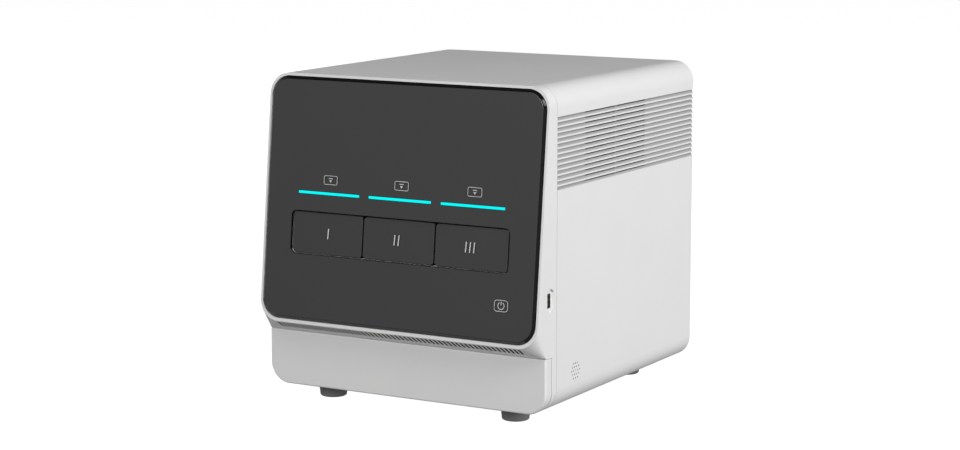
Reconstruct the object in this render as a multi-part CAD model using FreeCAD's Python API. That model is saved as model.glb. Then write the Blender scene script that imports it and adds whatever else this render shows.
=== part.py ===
import FreeCAD, Part

import math
import os

from FreeCAD import Placement, Rotation, Vector

# Bench real-time PCR machine with three sample drawers, a leaning glass front and a louvred case.
# Millimetres. X is to the right, Y to the back and Z up. While the pieces are modelled, y = 0 is the
# seam between the front shroud and the case sleeve, and z = 0 is the bench that the feet stand on.
# At the end every piece is moved along Y so that the origin is under the middle of the machine.

os.makedirs("parts", exist_ok=True)

# Case
width = 300.0
housing_height = 298.5
foot_height = 14.5
sleeve_depth = 287.0
edge_radius = 20.0
sleeve_wall = 3.6
seam_gap = 0.4

# Front shroud and lower fascia
lean = 6.0
lip_height = 64.0
lip_reach = 37.8
fascia_reach = 20.2
fascia_top = 53.0
strip_depth = 8.7
shroud_wall = 3.0
fascia_wall = 2.6
fascia_edge_radius = 2.0
fascia_edge_bevel = 1.2
locating_lip_depth = 6.0
locating_lip_wall = 1.6
locating_lip_gap = 0.2
locating_lip_end = 12.0

# Intake vents under the shroud's lip
vent_side_margin = 19.0
vent_pitch = 4.66
vent_width = 2.3
vent_length = 6.6
vent_setback = 2.4

# Dark glass front panel
glass_thickness = 3.2
glass_pocket = 1.4
glass_margin_side = 2.2
glass_margin_bottom = 3.2
glass_margin_top = 2.6
glass_corner_radius = 19.0
glass_edge_bevel = 3.0
glass_fit_gap = 0.15

# Sample drawers
module_count = 3
module_pitch = 77.7
drawer_opening_height = 39.0
drawer_opening_bottom = 131.0
drawer_opening_radius = 4.0
drawer_gap = 0.7
drawer_recess = 1.6
drawer_travel = 108.0
drawer_front_back = 23.0
tray_side_gap = 3.1
tray_overlap = 23.0
tray_height = 19.0
tray_wall = 1.6
tray_above_opening = 6.5
tray_flange_width = 2.3
tray_flange_drop = 3.4

# Sample block, Peltier plate and heat sink in each drawer
well_count = 8
well_pitch = 9.0
well_sides = 8
well_radius = 3.2
well_tip_radius = 1.4
well_collar_depth = 5.2
well_cone_depth = 7.0
block_width = 19.0
block_end_margin = 6.5
block_height = 13.6
peltier_thickness = 3.4
peltier_margin = 2.0
sink_width = 58.0
sink_overhang = 6.0
sink_base = 3.0
sink_fin_height = 7.4
sink_fin_thickness = 1.4
sink_fin_count = 9
sink_window_margin = 4.0

# Rack and pinion under each drawer
gear_module = 1.5
pinion_teeth = 14
pressure_angle = 20.0
tooth_addendum = 1.2
tooth_dedendum = 1.6
tooth_tip_gap = 0.1
tooth_backlash = 0.3
rack_height = 5.0
rack_body = 4.0
rack_offset = -4.0
rack_front_margin = 8.0
pinion_y = 10.0
pinion_thickness = 4.4
pinion_lift = 0.3
motor_shaft_radius = 2.5
shaft_clearance = 0.05
shaft_engagement = 6.0
shaft_end_gap = 0.3
motor_size = 28.0
motor_length = 28.0
motor_corner = 3.0

# Sheet-metal module frame, optics deck and base plate
frame_wall = 1.5
frame_front = 10.0
frame_rear_gap = 4.0
shelf_gap = 3.0
shelf_thickness = 2.0
shelf_bore_radius = 7.0
deck_gap = 7.4
deck_thickness = 2.0
leg_inset = 8.0
base_height = 9.5
base_thickness = 2.0
base_side_gap = 32.4
base_end_gap = 8.0
runner_gap = 0.4
runner_height = 5.6
runner_overrun = 8.0
slide_gap = 0.3

# Heated lids
lid_gap = 0.6
lid_thickness = 8.0
lid_width = 28.0
lid_overhang = 4.0
lid_lug_reach = 26.0
lid_lug_length = 14.0
lid_window_width = 4.4
lid_pin_x = 20.0
lid_pin_radius = 2.0
lid_pin_collar_radius = 3.5
lid_pin_collar_height = 2.0
lid_bore_gap = 0.05
pin_sides = 12

# Scanning optics
rod_radius = 3.0
rod_spacing = 70.0
rod_front_y = 2.0
rod_lift = 8.0
rod_end_inset = 5.3
rod_support_length = 8.0
rod_support_width = 12.0
rod_support_rise = 3.0
rod_seat_gap = 0.02
bore_sides = 8
head_width = 24.0
head_length = 82.0
head_height = 39.0
head_gap = 1.5
head_lens_radius = 4.0
head_chamfer = 4.0
belt_behind_head = 10.0
belt_width = 6.0
belt_thickness = 1.2
belt_end_inset = 15.3
pulley_radius = 6.0
pulley_gap = 0.3
motor_face_gap = 2.0
pulley_bore_radius = 2.0
belt_lift = 14.0
belt_clamp_height = 5.0
belt_clamp_width = 16.0
idler_bracket_width = 20.0
idler_bracket_thickness = 4.0
idler_bracket_gap = 1.0
idler_bracket_rise = 10.0

# Fans in the rear panel
fan_size = 80.0
fan_depth = 25.0
fan_rim = 1.8
fan_spacing = 112.0
fan_height = 206.0
fan_hub_radius = 16.0
fan_blade_count = 7
fan_tip_gap = 0.9
fan_blade_rise = 6.0
seat_sides = 16
fan_bore_sides = 28
fan_boss_radius = 5.0
fan_boss_height = 0.6
fan_blade_thickness = 1.6
fan_motor_radius = 14.0
fan_motor_depth = 3.0
fan_rotor_back_gap = 2.0
fan_blade_inset = 1.0
fan_strut_width = 4.0
fan_slot_height = 3.4
fan_slot_pitch = 6.2
fan_slot_edge = 1.0

# Rear panel and the ports in it
rear_thickness = 2.0
rear_inset = 2.0
rear_fit_gap = 0.3
rear_boss_inset = 18.0
rear_boss_end_margin = 24.0
rear_boss_rows = 4
rear_boss_size = 11.0
rear_boss_depth = 14.0
inlet_inset = 54.0
port_height = 46.0
port_hole_gap = 0.3
inlet_width = 48.0
inlet_flange_height = 24.0
inlet_flange = 2.4
inlet_body_width = 27.0
inlet_body_height = 20.0
inlet_body_depth = 24.0
inlet_cavity_width = 24.0
inlet_cavity_height = 16.6
inlet_cavity_depth = 16.0
inlet_pin_length = 11.0
inlet_pin_spacing = 7.0
inlet_pin_width = 2.0
inlet_pin_height = 4.0
inlet_pin_rise = 2.0
inlet_flange_radius = 6.0
inlet_cavity_corner = 4.5
switch_spacing = 46.0
switch_width = 15.0
switch_height = 21.0
switch_flange = 2.0
switch_depth = 16.0
switch_body_inset = 1.0
switch_well_depth = 6.0
rocker_width = 10.4
rocker_height = 15.6
rocker_tilt = 9.0
rocker_low = 1.6
rocker_middle = 1.9
rocker_end = 2.8
rocker_edge = 2.0
rocker_foot = 0.55
rocker_clearance = 0.5
rocker_side_gap = 0.25
rocker_bore_gap = 0.2
rocker_pivot_radius = 1.5
rocker_pivot_depth = 1.6
rocker_boss_wall = 1.2
network_x = 26.0
network_width = 16.0
network_height = 14.0
network_depth = 17.0
network_cavity_width = 11.8
network_cavity_height = 8.6
network_cavity_depth = 12.0
network_rim = 0.6

# Side louvres
louvre_count = 14
louvre_pitch = 4.85
louvre_top_drop = 28.0
louvre_depth = 2.0
louvre_tip = 1.2
louvre_slot_height = 1.3
louvre_slot_start = 57.0
louvre_slot_length = 60.5
louvre_slot_bridge = 3.0
louvre_slot_columns = 2

# Speaker grille: a hexagon of round holes
speaker_y = 37.9
speaker_height = 32.3
speaker_pitch = 4.0
speaker_hole_radius = 0.8
speaker_rings = 2
hole_sides = 6
speaker_radius = 12.0
speaker_depth = 6.0

# USB port in the shroud's right side
usb_y = 11.6
usb_height = 105.2
usb_recess_width = 14.2
usb_recess_length = 22.0
usb_recess_depth = 1.8
usb_shell_width = 5.8
usb_shell_length = 13.4
usb_shell_wall = 0.35
usb_shell_depth = 15.0
usb_shell_gap = 0.1
usb_tongue_thickness = 1.9
usb_tongue_length = 11.2
usb_tongue_setback = 3.3
usb_back_wall = 1.0

# Status light bars and touch board
light_bar_height = 188.0
light_bar_length = 66.8
light_bar_thickness = 2.2
light_bar_gap = 0.1
board_setback = 10.0
board_thickness = 1.6
board_side_gap = 33.0
board_below_bar = 4.0
board_height = 32.0
board_post = 6.0
board_post_inset = 6.0

# Feet
foot_side_inset = 49.5
foot_front_y = 13.5
foot_rear_inset = 44.0
foot_top_radius = 13.6
foot_sole_radius = 11.6
foot_chamfer = 2.4
foot_sides = 20

# Electronics on the base plate
electronics_side_inset = 8.0
electronics_front_gap = 15.0
electronics_middle_gap = 16.0
mainboard_rear_gap = 43.0
power_supply_rear_gap = 31.0
standoff_inset = 6.0
processor_size = 28.0
processor_height = 4.0
processor_front_inset = 34.0
socket_width = 24.0
socket_length = 12.0
socket_height = 9.0
socket_side_inset = 8.0
socket_front_inset = 10.0
connector_width = 12.0
connector_length = 28.0
connector_height = 7.0
connector_side_inset = 8.0
connector_rear_inset = 6.0
standoff_height = 6.0
standoff_radius = 3.0
power_supply_height = 42.0
power_terminal_inset = 4.0
power_terminal_length = 16.0
power_terminal_height = 14.0

# Worked-out places
floor = foot_height
top = foot_height + housing_height
half = width / 2
lip_z = floor + lip_height
rear_y = sleeve_depth - rear_inset - rear_thickness
rear_face = rear_y + rear_thickness
port_z = floor + port_height
opening_bottom = floor + drawer_opening_bottom
opening_top = opening_bottom + drawer_opening_height
tray_base = opening_bottom + tray_above_opening
tray_front = -drawer_front_back
tray_rear = tray_overlap + drawer_travel - frame_front
tray_width = module_pitch - frame_wall - 2 * tray_side_gap
sink_base_bottom = tray_base + tray_wall + sink_fin_height
peltier_bottom = sink_base_bottom + sink_base
block_bottom = peltier_bottom + peltier_thickness
block_top = block_bottom + block_height
block_length = 2 * block_end_margin + (well_count - 1) * well_pitch
pinion_radius = gear_module * pinion_teeth / 2
rack_bottom = tray_base - rack_height
shelf_top = rack_bottom - shelf_gap
lid_bottom = block_top + lid_gap
deck_bottom = lid_bottom + lid_thickness + deck_gap
deck_top = deck_bottom + deck_thickness
frame_rear = tray_rear + frame_rear_gap
base_top = floor + base_height + base_thickness
base_half_width = half - sleeve_wall - base_side_gap
board_half_width = half - shroud_wall - board_side_gap
board_low = light_bar_height - board_below_bar
board_high = board_low + board_height
rod_z = deck_top + rod_lift
belt_z = deck_top + belt_lift
module_x = [(i - (module_count - 1) / 2) * module_pitch for i in range(module_count)]
opening_half = module_count * module_pitch / 2 + drawer_gap / 2
deck_half = module_count * module_pitch / 2 + frame_wall / 2
rod_half_length = deck_half - rod_end_inset
belt_half_span = deck_half - belt_end_inset
head_front = rod_front_y - (head_length - rod_spacing) / 2
head_back = head_front + head_length
belt_y = head_back + belt_behind_head
foot_x = half - foot_side_inset
foot_rear_y = sleeve_depth - foot_rear_inset
fan_bore_radius = fan_size / 2 - fan_rim
electronics_front = frame_rear + electronics_front_gap
electronics_side = base_half_width - electronics_side_inset
electronics_width = electronics_side - electronics_middle_gap / 2
inlet_x = inlet_inset - half
switch_x = inlet_x + switch_spacing

pieces = {}


# Shapes that several pieces share

def box(x0, x1, y0, y1, z0, z1):
    return Part.makeBox(x1 - x0, y1 - y0, z1 - z0, Vector(x0, y0, z0))


def centred_box(x, y, z, size_x, size_y, size_z):
    return box(x - size_x / 2, x + size_x / 2, y - size_y / 2, y + size_y / 2, z - size_z / 2, z + size_z / 2)


def cylinder(radius, start, direction, length):
    return Part.makeCylinder(radius, length, start, direction)


def rounded_face(u0, u1, v0, v1, radius):
    """A rectangle with rounded corners in the XY plane."""
    centres = [(u1 - radius, v1 - radius), (u0 + radius, v1 - radius),
               (u0 + radius, v0 + radius), (u1 - radius, v0 + radius)]
    arcs = []
    for turn, (u, v) in enumerate(centres):
        circle = Part.Circle(Vector(u, v, 0), Vector(0, 0, 1), radius)
        start = turn * math.pi / 2
        arcs.append(Part.ArcOfCircle(circle, start, start + math.pi / 2).toShape())
    edges = []
    for here, following in zip(arcs, arcs[1:] + arcs[:1]):
        edges.append(here)
        end = here.Vertexes[-1].Point
        begin = following.Vertexes[0].Point
        if end.distanceToPoint(begin) > 1e-6:
            edges.append(Part.makeLine(end, begin))
    return Part.Face(Part.Wire(edges))


def prism_y(u0, u1, z0, z1, radius, y0, y1):
    """A rounded rectangle seen from the front, extruded from y0 back to y1."""
    face = rounded_face(u0, u1, z0, z1, radius)
    face.Placement = Placement(Vector(0, y0, 0), Rotation(Vector(1, 0, 0), 90))
    return face.extrude(Vector(0, y1 - y0, 0))


def profile_y(points, y0, y1):
    """A polygon of (x, z) points extruded from y0 back to y1."""
    corners = [Vector(x, y0, z) for x, z in points]
    return Part.Face(Part.makePolygon(corners + corners[:1])).extrude(Vector(0, y1 - y0, 0))


def profile_x(points, x0, x1):
    """A polygon of (y, z) points extruded from x0 to x1."""
    corners = [Vector(x0, y, z) for y, z in points]
    return Part.Face(Part.makePolygon(corners + corners[:1])).extrude(Vector(x1 - x0, 0, 0))


def flat_face(corners):
    return Part.Face(Part.makePolygon(corners + corners[:1]))


def ring_corners(sides, radius, centre):
    """Corners of a level regular ring whose flats lie at the radius."""
    reach = radius / math.cos(math.pi / sides)
    turns = [(i + 0.5) * 2 * math.pi / sides for i in range(sides)]
    return [centre + Vector(reach * math.cos(turn), reach * math.sin(turn), 0) for turn in turns]


def many_sided(sides, radius, start, direction, length):
    """A regular prism whose flats lie at the radius, for small round things that repeat."""
    prism = flat_face(ring_corners(sides, radius, Vector(0, 0, 0))).extrude(Vector(0, 0, length))
    prism.Placement = Placement(start, Rotation(Vector(0, 0, 1), direction))
    return prism


def many_sided_taper(sides, x, y, rings):
    """A solid that tapers through level rings, each given by its radius and its height."""
    levels = [ring_corners(sides, radius, Vector(x, y, z)) for radius, z in rings]
    faces = [flat_face(levels[0]), flat_face(levels[-1])]
    for low, high in zip(levels, levels[1:]):
        for i in range(sides):
            j = (i + 1) % sides
            faces.append(flat_face([low[i], low[j], high[j], high[i]]))
    solid = Part.Solid(Part.Shell(faces))
    if solid.Volume < 0:
        solid.reverse()
    return solid


def mirrored(shape):
    return shape.mirror(Vector(0, 0, 0), Vector(1, 0, 0))


def moved(shape, x, y, z):
    copy = shape.copy()
    copy.translate(Vector(x, y, z))
    return copy


def fused(first, others):
    return first.fuse(others).removeSplitter()


def compound(shapes):
    return Part.makeCompound(shapes)


# The leaning front. Pieces on it are drawn flat: X across, Y up the panel from the lip, Z out of it.

front_placement = Placement(Vector(0, -lip_reach, lip_z), Rotation(Vector(1, 0, 0), 90 - lean))


def on_front(shape):
    placed = shape.copy()
    placed.Placement = front_placement.multiply(placed.Placement)
    return placed


def up_front(height):
    """Distance up the leaning front of a height above the housing's bottom."""
    return (height - lip_height) / math.cos(math.radians(lean))


def ahead_of_front(offset):
    """Everything further out than offset from the rim plane, as a cutting block."""
    return on_front(box(-width, width, -width, 2 * width, offset, offset + 2 * width))


# Front shroud

def undercut(inset):
    """What the lip overhangs: ahead of the fascia's plane and under the slope, moved inwards by inset."""
    rise = (lip_height - fascia_top) / (lip_reach - fascia_reach)
    lift = inset * math.hypot(1, rise)
    y_wall = -fascia_reach + inset
    slope_at_wall = floor + fascia_top + lift - rise * inset
    reach = 2 * lip_reach
    points = [(y_wall, -foot_height), (y_wall, slope_at_wall), (-lip_reach, lip_z + lift),
              (-reach, lip_z + lift), (-reach, -foot_height)]
    return profile_x(points, -width, width)


def lip_corner_cutter(inset):
    """The waste outside the lip's round corner, tapering back to the fascia's small edge."""
    over = 4.0
    up = front_placement
    low = -half + inset
    base = inset
    big = edge_radius
    arc_middle = big * (1 - math.sqrt(0.5))
    start = up.multVec(Vector(low, base + big, 0))
    middle = up.multVec(Vector(low + arc_middle, base + arc_middle, 0))
    end = up.multVec(Vector(low + big, base, 0))
    front = [Part.Arc(start, middle, end).toShape(),
             Part.makeLine(end, up.multVec(Vector(low + big, base - over, 0))),
             Part.makeLine(up.multVec(Vector(low + big, base - over, 0)),
                           up.multVec(Vector(low - over, base - over, 0))),
             Part.makeLine(up.multVec(Vector(low - over, base - over, 0)),
                           up.multVec(Vector(low - over, base + big, 0))),
             Part.makeLine(up.multVec(Vector(low - over, base + big, 0)), start)]
    small = fascia_edge_radius
    y = -fascia_reach + inset
    z = floor + fascia_top + inset
    small_middle = small * (1 - math.sqrt(0.5))
    start = Vector(low, y + small, z)
    end = Vector(low + small, y, z)
    back = [Part.Arc(start, Vector(low + small_middle, y + small_middle, z), end).toShape(),
            Part.makeLine(end, Vector(low + small, y - over, z)),
            Part.makeLine(Vector(low + small, y - over, z), Vector(low - over, y - over, z)),
            Part.makeLine(Vector(low - over, y - over, z), Vector(low - over, y + small, z)),
            Part.makeLine(Vector(low - over, y + small, z), start)]
    return Part.makeLoft([Part.Wire(front), Part.Wire(back)], True, True)


def lip_corner_flat(inset):
    """The same corner seen from inside: one flat across it, which leaves the wall a little thicker."""
    low = -half + inset
    side = front_placement.multVec(Vector(low, inset + edge_radius, -glass_pocket - inset))
    under = front_placement.multVec(Vector(low + edge_radius, inset, -glass_pocket - inset))
    back = Vector(low + fascia_edge_radius, -fascia_reach + inset, floor + fascia_top + inset)
    normal = (under - side).cross(back - side)
    if normal.x > 0:
        normal = -normal
    reach = 4 * edge_radius
    block = box(-reach, reach, -reach, reach, 0, reach)
    block.Placement = Placement(side, Rotation(Vector(0, 0, 1), normal))
    return block.common(box(-width, 0, -width, back.y, back.z, width))


def case_outline(inset, y0, y1):
    return prism_y(-half + inset, half - inset, floor + inset, top - inset,
                   max(edge_radius - inset, 1.0), y0, y1)


def shroud_form(inset, y0):
    """The shroud's outer form, or its hollow when inset is a wall thickness."""
    form = case_outline(inset, -2 * lip_reach, y0)
    front = -(glass_pocket + inset) if inset else 0
    corner = lip_corner_flat(inset) if inset else lip_corner_cutter(inset)
    return form.cut([ahead_of_front(front), undercut(inset), corner, mirrored(corner)])


def glass_outline(gap):
    """The glass's outline on the leaning front, grown by gap."""
    side = half - glass_margin_side + gap
    low = glass_margin_bottom - gap
    high = up_front(housing_height - glass_margin_top) + gap
    return rounded_face(-side, side, low, high, glass_corner_radius + gap)


def drawer_opening(y0, y1, gap):
    return prism_y(-opening_half - gap, opening_half + gap, opening_bottom - gap, opening_top + gap,
                   drawer_opening_radius + gap, y0, y1)


def light_bar(gap, z0, z1):
    rise = light_bar_thickness / 2 + gap
    run = light_bar_length / 2 + gap
    v = up_front(light_bar_height)
    return on_front(box(-run, run, v - rise, v + rise, z0, z1))


def usb_outline(gap, x0, x1):
    """The USB shell's outline at the shroud's right side, between two distances in from it."""
    across = usb_shell_width / 2 + gap
    along = usb_shell_length / 2 + gap
    z = floor + usb_height
    return box(half - x1, half - x0, -usb_y - across, -usb_y + across, z - along, z + along)


def usb_recess():
    face = rounded_face(-usb_recess_width / 2, usb_recess_width / 2, -usb_recess_length / 2,
                        usb_recess_length / 2, usb_recess_width / 2 - 0.01)
    cutter = face.extrude(Vector(0, 0, usb_recess_depth + 1))
    cutter.Placement = Placement(Vector(half - usb_recess_depth, -usb_y, floor + usb_height),
                                 Rotation(Vector(1, 1, 1), 120))
    return cutter


def vents():
    """The row of intake slots, cut across the slope just behind the lip."""
    rise = math.degrees(math.atan2(lip_height - fascia_top, lip_reach - fascia_reach))
    slot = box(-vent_width / 2, vent_width / 2, vent_setback, vent_setback + vent_length,
               -2 * shroud_wall, 2 * shroud_wall)
    slot.Placement = Placement(Vector(0, -lip_reach, lip_z), Rotation(Vector(1, 0, 0), -rise))
    vent_count = int((width - 2 * vent_side_margin) / vent_pitch) + 1
    first = -(vent_count - 1) / 2 * vent_pitch
    return [moved(slot, first + i * vent_pitch, 0, 0) for i in range(vent_count)]


def locating_tabs():
    """Four straight tabs that reach into the sleeve, one along each wall."""
    outer = sleeve_wall + locating_lip_gap
    inner = outer + locating_lip_wall
    run_x = half - edge_radius - locating_lip_end
    run_z = housing_height / 2 - edge_radius - locating_lip_end
    centre_z = floor + housing_height / 2
    tabs = []
    for side in (-1, 1):
        x = side * (half - (outer + inner) / 2)
        z = centre_z + side * (housing_height / 2 - (outer + inner) / 2)
        tabs.append(centred_box(x, 0, centre_z, locating_lip_wall, 2 * locating_lip_depth, 2 * run_z))
        tabs.append(centred_box(0, 0, z, 2 * run_x, 2 * locating_lip_depth, locating_lip_wall))
        root = (shroud_wall / 2 + inner) / 2
        root_width = inner - shroud_wall / 2
        x = side * (half - root)
        y = -locating_lip_depth / 2
        z = centre_z + side * (housing_height / 2 - root)
        tabs.append(centred_box(x, y, centre_z, root_width, locating_lip_depth, 2 * run_z))
        tabs.append(centred_box(0, y, z, 2 * run_x, locating_lip_depth, root_width))
    return tabs


def make_front_shroud():
    shell = shroud_form(0, 0)
    strip_front = box(-width, width, -2 * lip_reach, -strip_depth, 0, floor + fascia_top)
    shell = shell.cut(strip_front)
    shell = shell.cut(shroud_form(shroud_wall, 1))
    shell = fused(shell, locating_tabs())
    pocket = on_front(moved(glass_outline(glass_fit_gap).extrude(Vector(0, 0, 10)), 0, 0, -glass_pocket))
    posts = []
    reach = board_half_width - board_post_inset
    for x in (-reach, reach):
        for v in (up_front(board_low) + board_post_inset, up_front(board_high) - board_post_inset):
            posts.append(on_front(box(x - board_post / 2, x + board_post / 2, v - board_post / 2,
                                      v + board_post / 2, -board_setback, -glass_pocket - 1)))
    shell = fused(shell, posts)
    bars = [moved(light_bar(light_bar_gap, -board_setback, 5), x, 0, 0) for x in module_x]
    opening = drawer_opening(-2 * lip_reach, -drawer_front_back + shroud_wall * 2, drawer_gap)
    cuts = [pocket, opening, usb_recess(), usb_outline(usb_shell_gap, 0, 2 * shroud_wall)]
    return shell.cut(cuts + bars + vents())


def make_lower_fascia():
    cover_top = floor + fascia_top - seam_gap
    back = -strip_depth - seam_gap
    cover = case_outline(0, -fascia_reach, back)
    cover = cover.cut(box(-width, width, -width, width, cover_top, 2 * width))
    front_edges = []
    for edge in cover.Edges:
        ends_in_front = all(abs(v.Point.y + fascia_reach) < 1e-4 for v in edge.Vertexes)
        below_top = min(v.Point.z for v in edge.Vertexes) < cover_top - 1
        if ends_in_front and below_top:
            front_edges.append(edge)
    cover = cover.makeChamfer(fascia_edge_bevel, front_edges)
    hollow = case_outline(fascia_wall, -fascia_reach + fascia_wall, 1)
    return cover.cut(hollow)


def make_front_panel():
    back = -glass_pocket
    plate = moved(glass_outline(0).extrude(Vector(0, 0, glass_thickness)), 0, 0, back)
    face_z = back + glass_thickness
    rim = [e for e in plate.Edges if all(abs(v.Point.z - face_z) < 1e-4 for v in e.Vertexes)]
    plate = on_front(plate.makeChamfer(glass_edge_bevel, rim))
    bars = [moved(light_bar(light_bar_gap, -5, 5), x, 0, 0) for x in module_x]
    return plate.cut([drawer_opening(-2 * lip_reach, 0, drawer_gap)] + bars)


def make_light_bars():
    face = glass_thickness - glass_pocket
    return compound([moved(light_bar(0, -board_setback, face), x, 0, 0) for x in module_x])


def make_touch_board():
    board = on_front(box(-board_half_width, board_half_width, up_front(board_low), up_front(board_high),
                         -board_setback - board_thickness, -board_setback))
    return board


# Case sleeve, its louvres and what closes it

def louvre_groove(z):
    """One groove between two louvres: square under the tip above, slanting out to the tip below."""
    slant = louvre_pitch - louvre_tip
    points = [(half - louvre_depth, z), (half + 1, z), (half + 1, z - slant), (half, z - slant)]
    return profile_y(points, seam_gap - 1, sleeve_depth + 1)


def louvre_slots(z):
    """The through-slots at the inner end of one groove."""
    slots = []
    for column in range(louvre_slot_columns):
        y0 = louvre_slot_start + column * (louvre_slot_length + louvre_slot_bridge)
        slots.append(box(half - 2 * sleeve_wall, half - louvre_depth / 2, y0, y0 + louvre_slot_length,
                         z - louvre_slot_height, z))
    return slots


def speaker_holes():
    """Hexagonal field of holes through the right side."""
    holes = []
    row_pitch = speaker_pitch * math.sin(math.radians(60))
    for row in range(-speaker_rings, speaker_rings + 1):
        in_row = 2 * speaker_rings + 1 - abs(row)
        for i in range(in_row):
            y = speaker_y + (i - (in_row - 1) / 2) * speaker_pitch
            z = floor + speaker_height + row * row_pitch
            holes.append(many_sided(hole_sides, speaker_hole_radius, Vector(half - 2 * sleeve_wall, y, z),
                                    Vector(1, 0, 0), 3 * sleeve_wall))
    return holes


def foot_places():
    return [(x, y) for x in (-foot_x, foot_x) for y in (foot_front_y, foot_rear_y)]


def rear_boss_places():
    reach = half - rear_boss_inset
    run = housing_height - 2 * rear_boss_end_margin
    heights = [floor + rear_boss_end_margin + i * run / (rear_boss_rows - 1) for i in range(rear_boss_rows)]
    return [(x, z) for x in (-reach, reach) for z in heights]


def make_enclosure_sleeve():
    sleeve = case_outline(0, seam_gap, sleeve_depth).cut(case_outline(sleeve_wall, -1, sleeve_depth + 1))
    bosses = []
    for x, z in rear_boss_places():
        wall_x = math.copysign(half - sleeve_wall + 1, x)
        inner_x = x - math.copysign(rear_boss_size / 2, x)
        bosses.append(box(min(wall_x, inner_x), max(wall_x, inner_x), rear_y - rear_boss_depth, rear_y,
                          z - rear_boss_size / 2, z + rear_boss_size / 2))
    sleeve = fused(sleeve, [boss.common(case_outline(1, 0, sleeve_depth)) for boss in bosses])
    cuts = []
    for i in range(louvre_count):
        z = top - louvre_top_drop - i * louvre_pitch
        groove = louvre_groove(z)
        cuts += [groove, mirrored(groove)]
        for slot in louvre_slots(z):
            cuts += [slot, mirrored(slot)]
    cuts += speaker_holes()
    return sleeve.cut(cuts)


def fan_centres():
    return [(side * fan_spacing / 2, floor + fan_height) for side in (-1, 1)]


def fan_slots(x, z):
    """Rows of straight slots in the rear panel, as long as the fan's bore allows."""
    slots = []
    count = int(fan_bore_radius * 2 / fan_slot_pitch)
    for i in range(count):
        rise = (i - (count - 1) / 2) * fan_slot_pitch
        outer = abs(rise) + fan_slot_height / 2
        reach = math.sqrt(max(fan_bore_radius ** 2 - outer ** 2, 0)) - fan_slot_edge
        if reach > fan_slot_height:
            slots.append(centred_box(x, rear_y, z + rise, 2 * reach, 4 * rear_thickness, fan_slot_height))
    return slots


def make_rear_panel():
    gap = sleeve_wall + rear_fit_gap
    panel = case_outline(gap, rear_y, rear_y + rear_thickness)
    cuts = []
    for x, z in fan_centres():
        cuts += fan_slots(x, z)
    ports = [(inlet_x, inlet_body_width, inlet_body_height), (network_x, network_width, network_height),
             (switch_x, switch_width - 2 * switch_body_inset, switch_height - 2 * switch_body_inset)]
    for x, across, high in ports:
        cuts.append(centred_box(x, rear_y, port_z, across + 2 * port_hole_gap, 4 * rear_thickness,
                                high + 2 * port_hole_gap))
    return panel.cut(cuts)


def make_feet():
    """Rubber bumper feet, tapering down to a bevelled sole."""
    feet = []
    for x, y in foot_places():
        rings = [(foot_sole_radius - foot_chamfer, 0), (foot_sole_radius, foot_chamfer)]
        rings.append((foot_top_radius, floor))
        feet.append(many_sided_taper(foot_sides, x, y, rings))
    return compound(feet)


# Base plate, module frame and optics deck

def make_base_plate():
    under = base_top - base_thickness
    y0 = base_end_gap
    y1 = rear_y - base_end_gap
    foot = floor + sleeve_wall
    points = [(-base_half_width, foot), (-base_half_width, base_top), (base_half_width, base_top),
              (base_half_width, foot), (base_half_width - base_thickness, foot),
              (base_half_width - base_thickness, under), (-base_half_width + base_thickness, under),
              (-base_half_width + base_thickness, foot)]
    return profile_y(points, y0, y1)


def make_module_frame():
    """Folded sheet cradle: legs, a shelf for the drive motors and a wall on each side of each drawer."""
    y0 = -frame_front
    y1 = frame_rear
    edge = deck_half
    shelf = box(-edge, edge, y0, y1, shelf_top - shelf_thickness, shelf_top)
    bay_walls = [(i - module_count / 2) * module_pitch for i in range(module_count + 1)]
    walls = [box(x - frame_wall / 2, x + frame_wall / 2, y0, y1, shelf_top, deck_bottom)
             for x in bay_walls]
    leg_y0 = base_end_gap
    for side in (-1, 1):
        x = side * (edge - leg_inset)
        walls.append(box(x - frame_wall / 2, x + frame_wall / 2, leg_y0, y1, base_top, shelf_top))
        walls.append(box(min(x, x - side * 2 * leg_inset), max(x, x - side * 2 * leg_inset),
                         leg_y0, y1, base_top, base_top + frame_wall))
    holes = [many_sided(pin_sides, shelf_bore_radius, Vector(pinion_x(x), pinion_y, 0), Vector(0, 0, 1), top)
             for x in module_x]
    return fused(shelf, walls).cut(holes)


def make_drawer_runners():
    """Fixed slide bars on the bay walls, just under the tray's flanges."""
    runners = []
    top_z = flange_bottom() - slide_gap
    for x in module_x:
        for side in (-1, 1):
            wall = x + side * (module_pitch / 2 - frame_wall / 2)
            inner = x + side * (tray_width / 2 + runner_gap)
            runners.append(box(min(wall, inner), max(wall, inner), -frame_front - runner_overrun,
                               frame_rear, top_z - runner_height, top_z))
    return compound(runners)


def make_optics_deck():
    deck = box(-deck_half, deck_half, -frame_front, frame_rear, deck_bottom, deck_top)
    belt_back = belt_y + belt_width / 2
    bracket = box(-belt_half_span - idler_bracket_width / 2, -belt_half_span + idler_bracket_width / 2,
                  belt_back + idler_bracket_gap, belt_back + idler_bracket_gap + idler_bracket_thickness,
                  deck_top, belt_z + idler_bracket_rise)
    pin = cylinder(pulley_bore_radius, Vector(-belt_half_span, belt_back - belt_width, belt_z),
                   Vector(0, 1, 0), belt_width + idler_bracket_gap + idler_bracket_thickness / 2)
    windows = [box(x - lid_window_width, x + lid_window_width, 0, block_length, 0, top) for x in module_x]
    return fused(deck, [bracket, pin]).cut(windows)


# Drawer unit: front, tray, heat sink, Peltier plate, sample block and rack

def flange_bottom():
    return tray_base + tray_height - tray_flange_drop - tray_wall


def make_drawer_front(x):
    room = module_pitch / 2 - drawer_gap
    block = prism_y(x - room, x + room, opening_bottom, opening_top - drawer_gap / 2,
                    drawer_opening_radius - drawer_gap, -2 * lip_reach, -drawer_front_back)
    face = glass_thickness - glass_pocket - drawer_recess
    return block.cut(ahead_of_front(face))


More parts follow.
